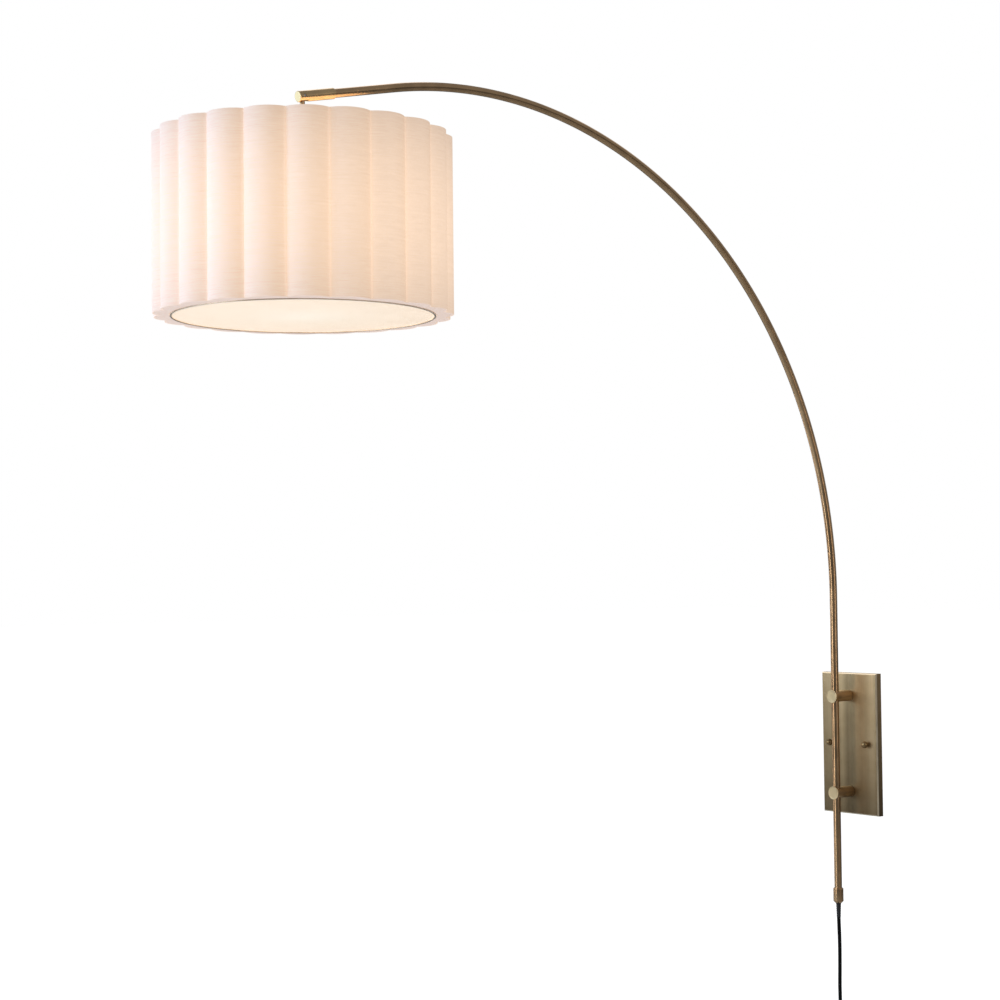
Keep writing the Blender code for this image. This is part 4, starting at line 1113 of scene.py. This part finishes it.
for build in (build_plate, build_posts, build_ball_nuts, build_arm, build_lower_end, build_sleeve,
              build_shade_wall, build_diffuser, build_flange, build_lamp):
    build()

KEPT = {
    "steel": ("wall_bracket", "stud_left", "stud_right", "post_screw_upper", "post_screw_lower",
              "stem_washer", "lock_nut", "cup_nut", "switch_screw"),
    "sheath": ("arm_wire", "stem_wire"),
    "stem": ("swivel_stem",),
    "white_wire": ("shade_spider", "top_wire", "bottom_wire"),
}
"""The frame's own nodes that stay visible, by their finish."""
for finish, nodes in KEPT.items():
    for node in nodes:
        for slot in bpy.data.objects[node].material_slots:
            slot.link = "OBJECT"
            slot.material = mats[finish]

# --- Studio ---

FLOOR_HALF, FLOOR_Z, FLOOR_GLOW = 36, -0.74, 0.97
WORLD_LIGHT, WORLD_GLOSS = 0.1, 0.20
MIDDLE = (0, -0.5, 0.35)
LIGHTS = {
    "key_left": ((-1.57, -3.3, 1.5), (3.2, 2.4), 54, (0.58, 0.80, 1.0)),
    "fill_right": ((3.4, 0.15, 0.8), (0.7, 2.2), 8, (1.0, 0.86, 0.74)),
    "strip_left": ((-0.75, -3.3, 0.1), (0.6, 2.4), 17, (1.0, 0.95, 0.90)),
    "front_right": ((3.0, -1.6, 1.9), (1.2, 1.2), 4, (1.0, 0.85, 0.70)),
    "low_left": ((-3.2, -0.9, 0.1), (0.5, 2.2), 11, (1.0, 0.93, 0.87)),
    "top_soft": ((-1.7, -0.3, 2.7), (1.8, 1.8), 12, (1.0, 0.98, 0.96)),
    "wall_glow": ((-0.9, 1.6, 2.4), (2.2, 1.2), 4, (1.0, 0.99, 0.97)),
}
"""Each light's place, size, power in watts and colour. All of them face the middle."""


def add_floor():
    bm = bmesh.new()
    for x, y in ((-1, -1), (1, -1), (1, 1), (-1, 1)):
        bm.verts.new((x * FLOOR_HALF, y * FLOOR_HALF, FLOOR_Z))
    bm.faces.new(bm.verts)
    floor = add_object("studio_floor", mesh_from(bm))
    g = Graph("studio_floor")
    mottle = g.noise(g.place(3), 2.0, 0.5)
    seen = g.node("LightPath")
    g.set(Base_Color=g.ramp(mottle, *greys((0.3, 0.86), (0.7, 0.88))), Roughness=0.9,
          Specular_IOR_Level=0.0, Emission_Color=(1.0, 1.0, 1.0),
          Emission_Strength=g.math("MULTIPLY", seen, FLOOR_GLOW))
    floor.data.materials.append(g.material)


def area_light(name, place, size, power, colour):
    data = bpy.data.lights.new(name, "AREA")
    data.shape = "RECTANGLE"
    data.size, data.size_y = size
    data.energy = power
    data.color = colour
    light = add_object(name, data)
    light.location = place
    aim = (Vector(MIDDLE) - Vector(place)).to_track_quat("-Z", "Y")
    light.rotation_euler = aim.to_euler()
    light.visible_camera = False


def add_world():
    """White to the camera, and dim everywhere else but a little brighter in reflections."""
    world = bpy.data.worlds.new("studio")
    world.use_nodes = True
    tree = world.node_tree
    tree.nodes.clear()
    seen, lit, path, mix, level, output = (tree.nodes.new(f"ShaderNode{kind}") for kind in (
        "Background", "Background", "LightPath", "MixShader", "Math", "OutputWorld"))
    seen.inputs[0].default_value = (1, 1, 1, 1)
    lit.inputs[0].default_value = (0.95, 0.97, 1.0, 1)
    level.operation = "MULTIPLY_ADD"
    level.inputs[1].default_value, level.inputs[2].default_value = WORLD_GLOSS, WORLD_LIGHT
    for source, socket in ((path.outputs["Is Glossy Ray"], level.inputs[0]),
                           (level.outputs[0], lit.inputs[1]),
                           (path.outputs["Is Camera Ray"], mix.inputs[0]),
                           (lit.outputs[0], mix.inputs[1]), (seen.outputs[0], mix.inputs[2]),
                           (mix.outputs[0], output.inputs[0])):
        tree.links.new(source, socket)
    bpy.context.scene.world = world


add_floor()
add_world()
for name, settings in LIGHTS.items():
    area_light(name, *settings)
view = bpy.context.scene.view_settings
view.view_transform = "Standard"
view.look = "None"
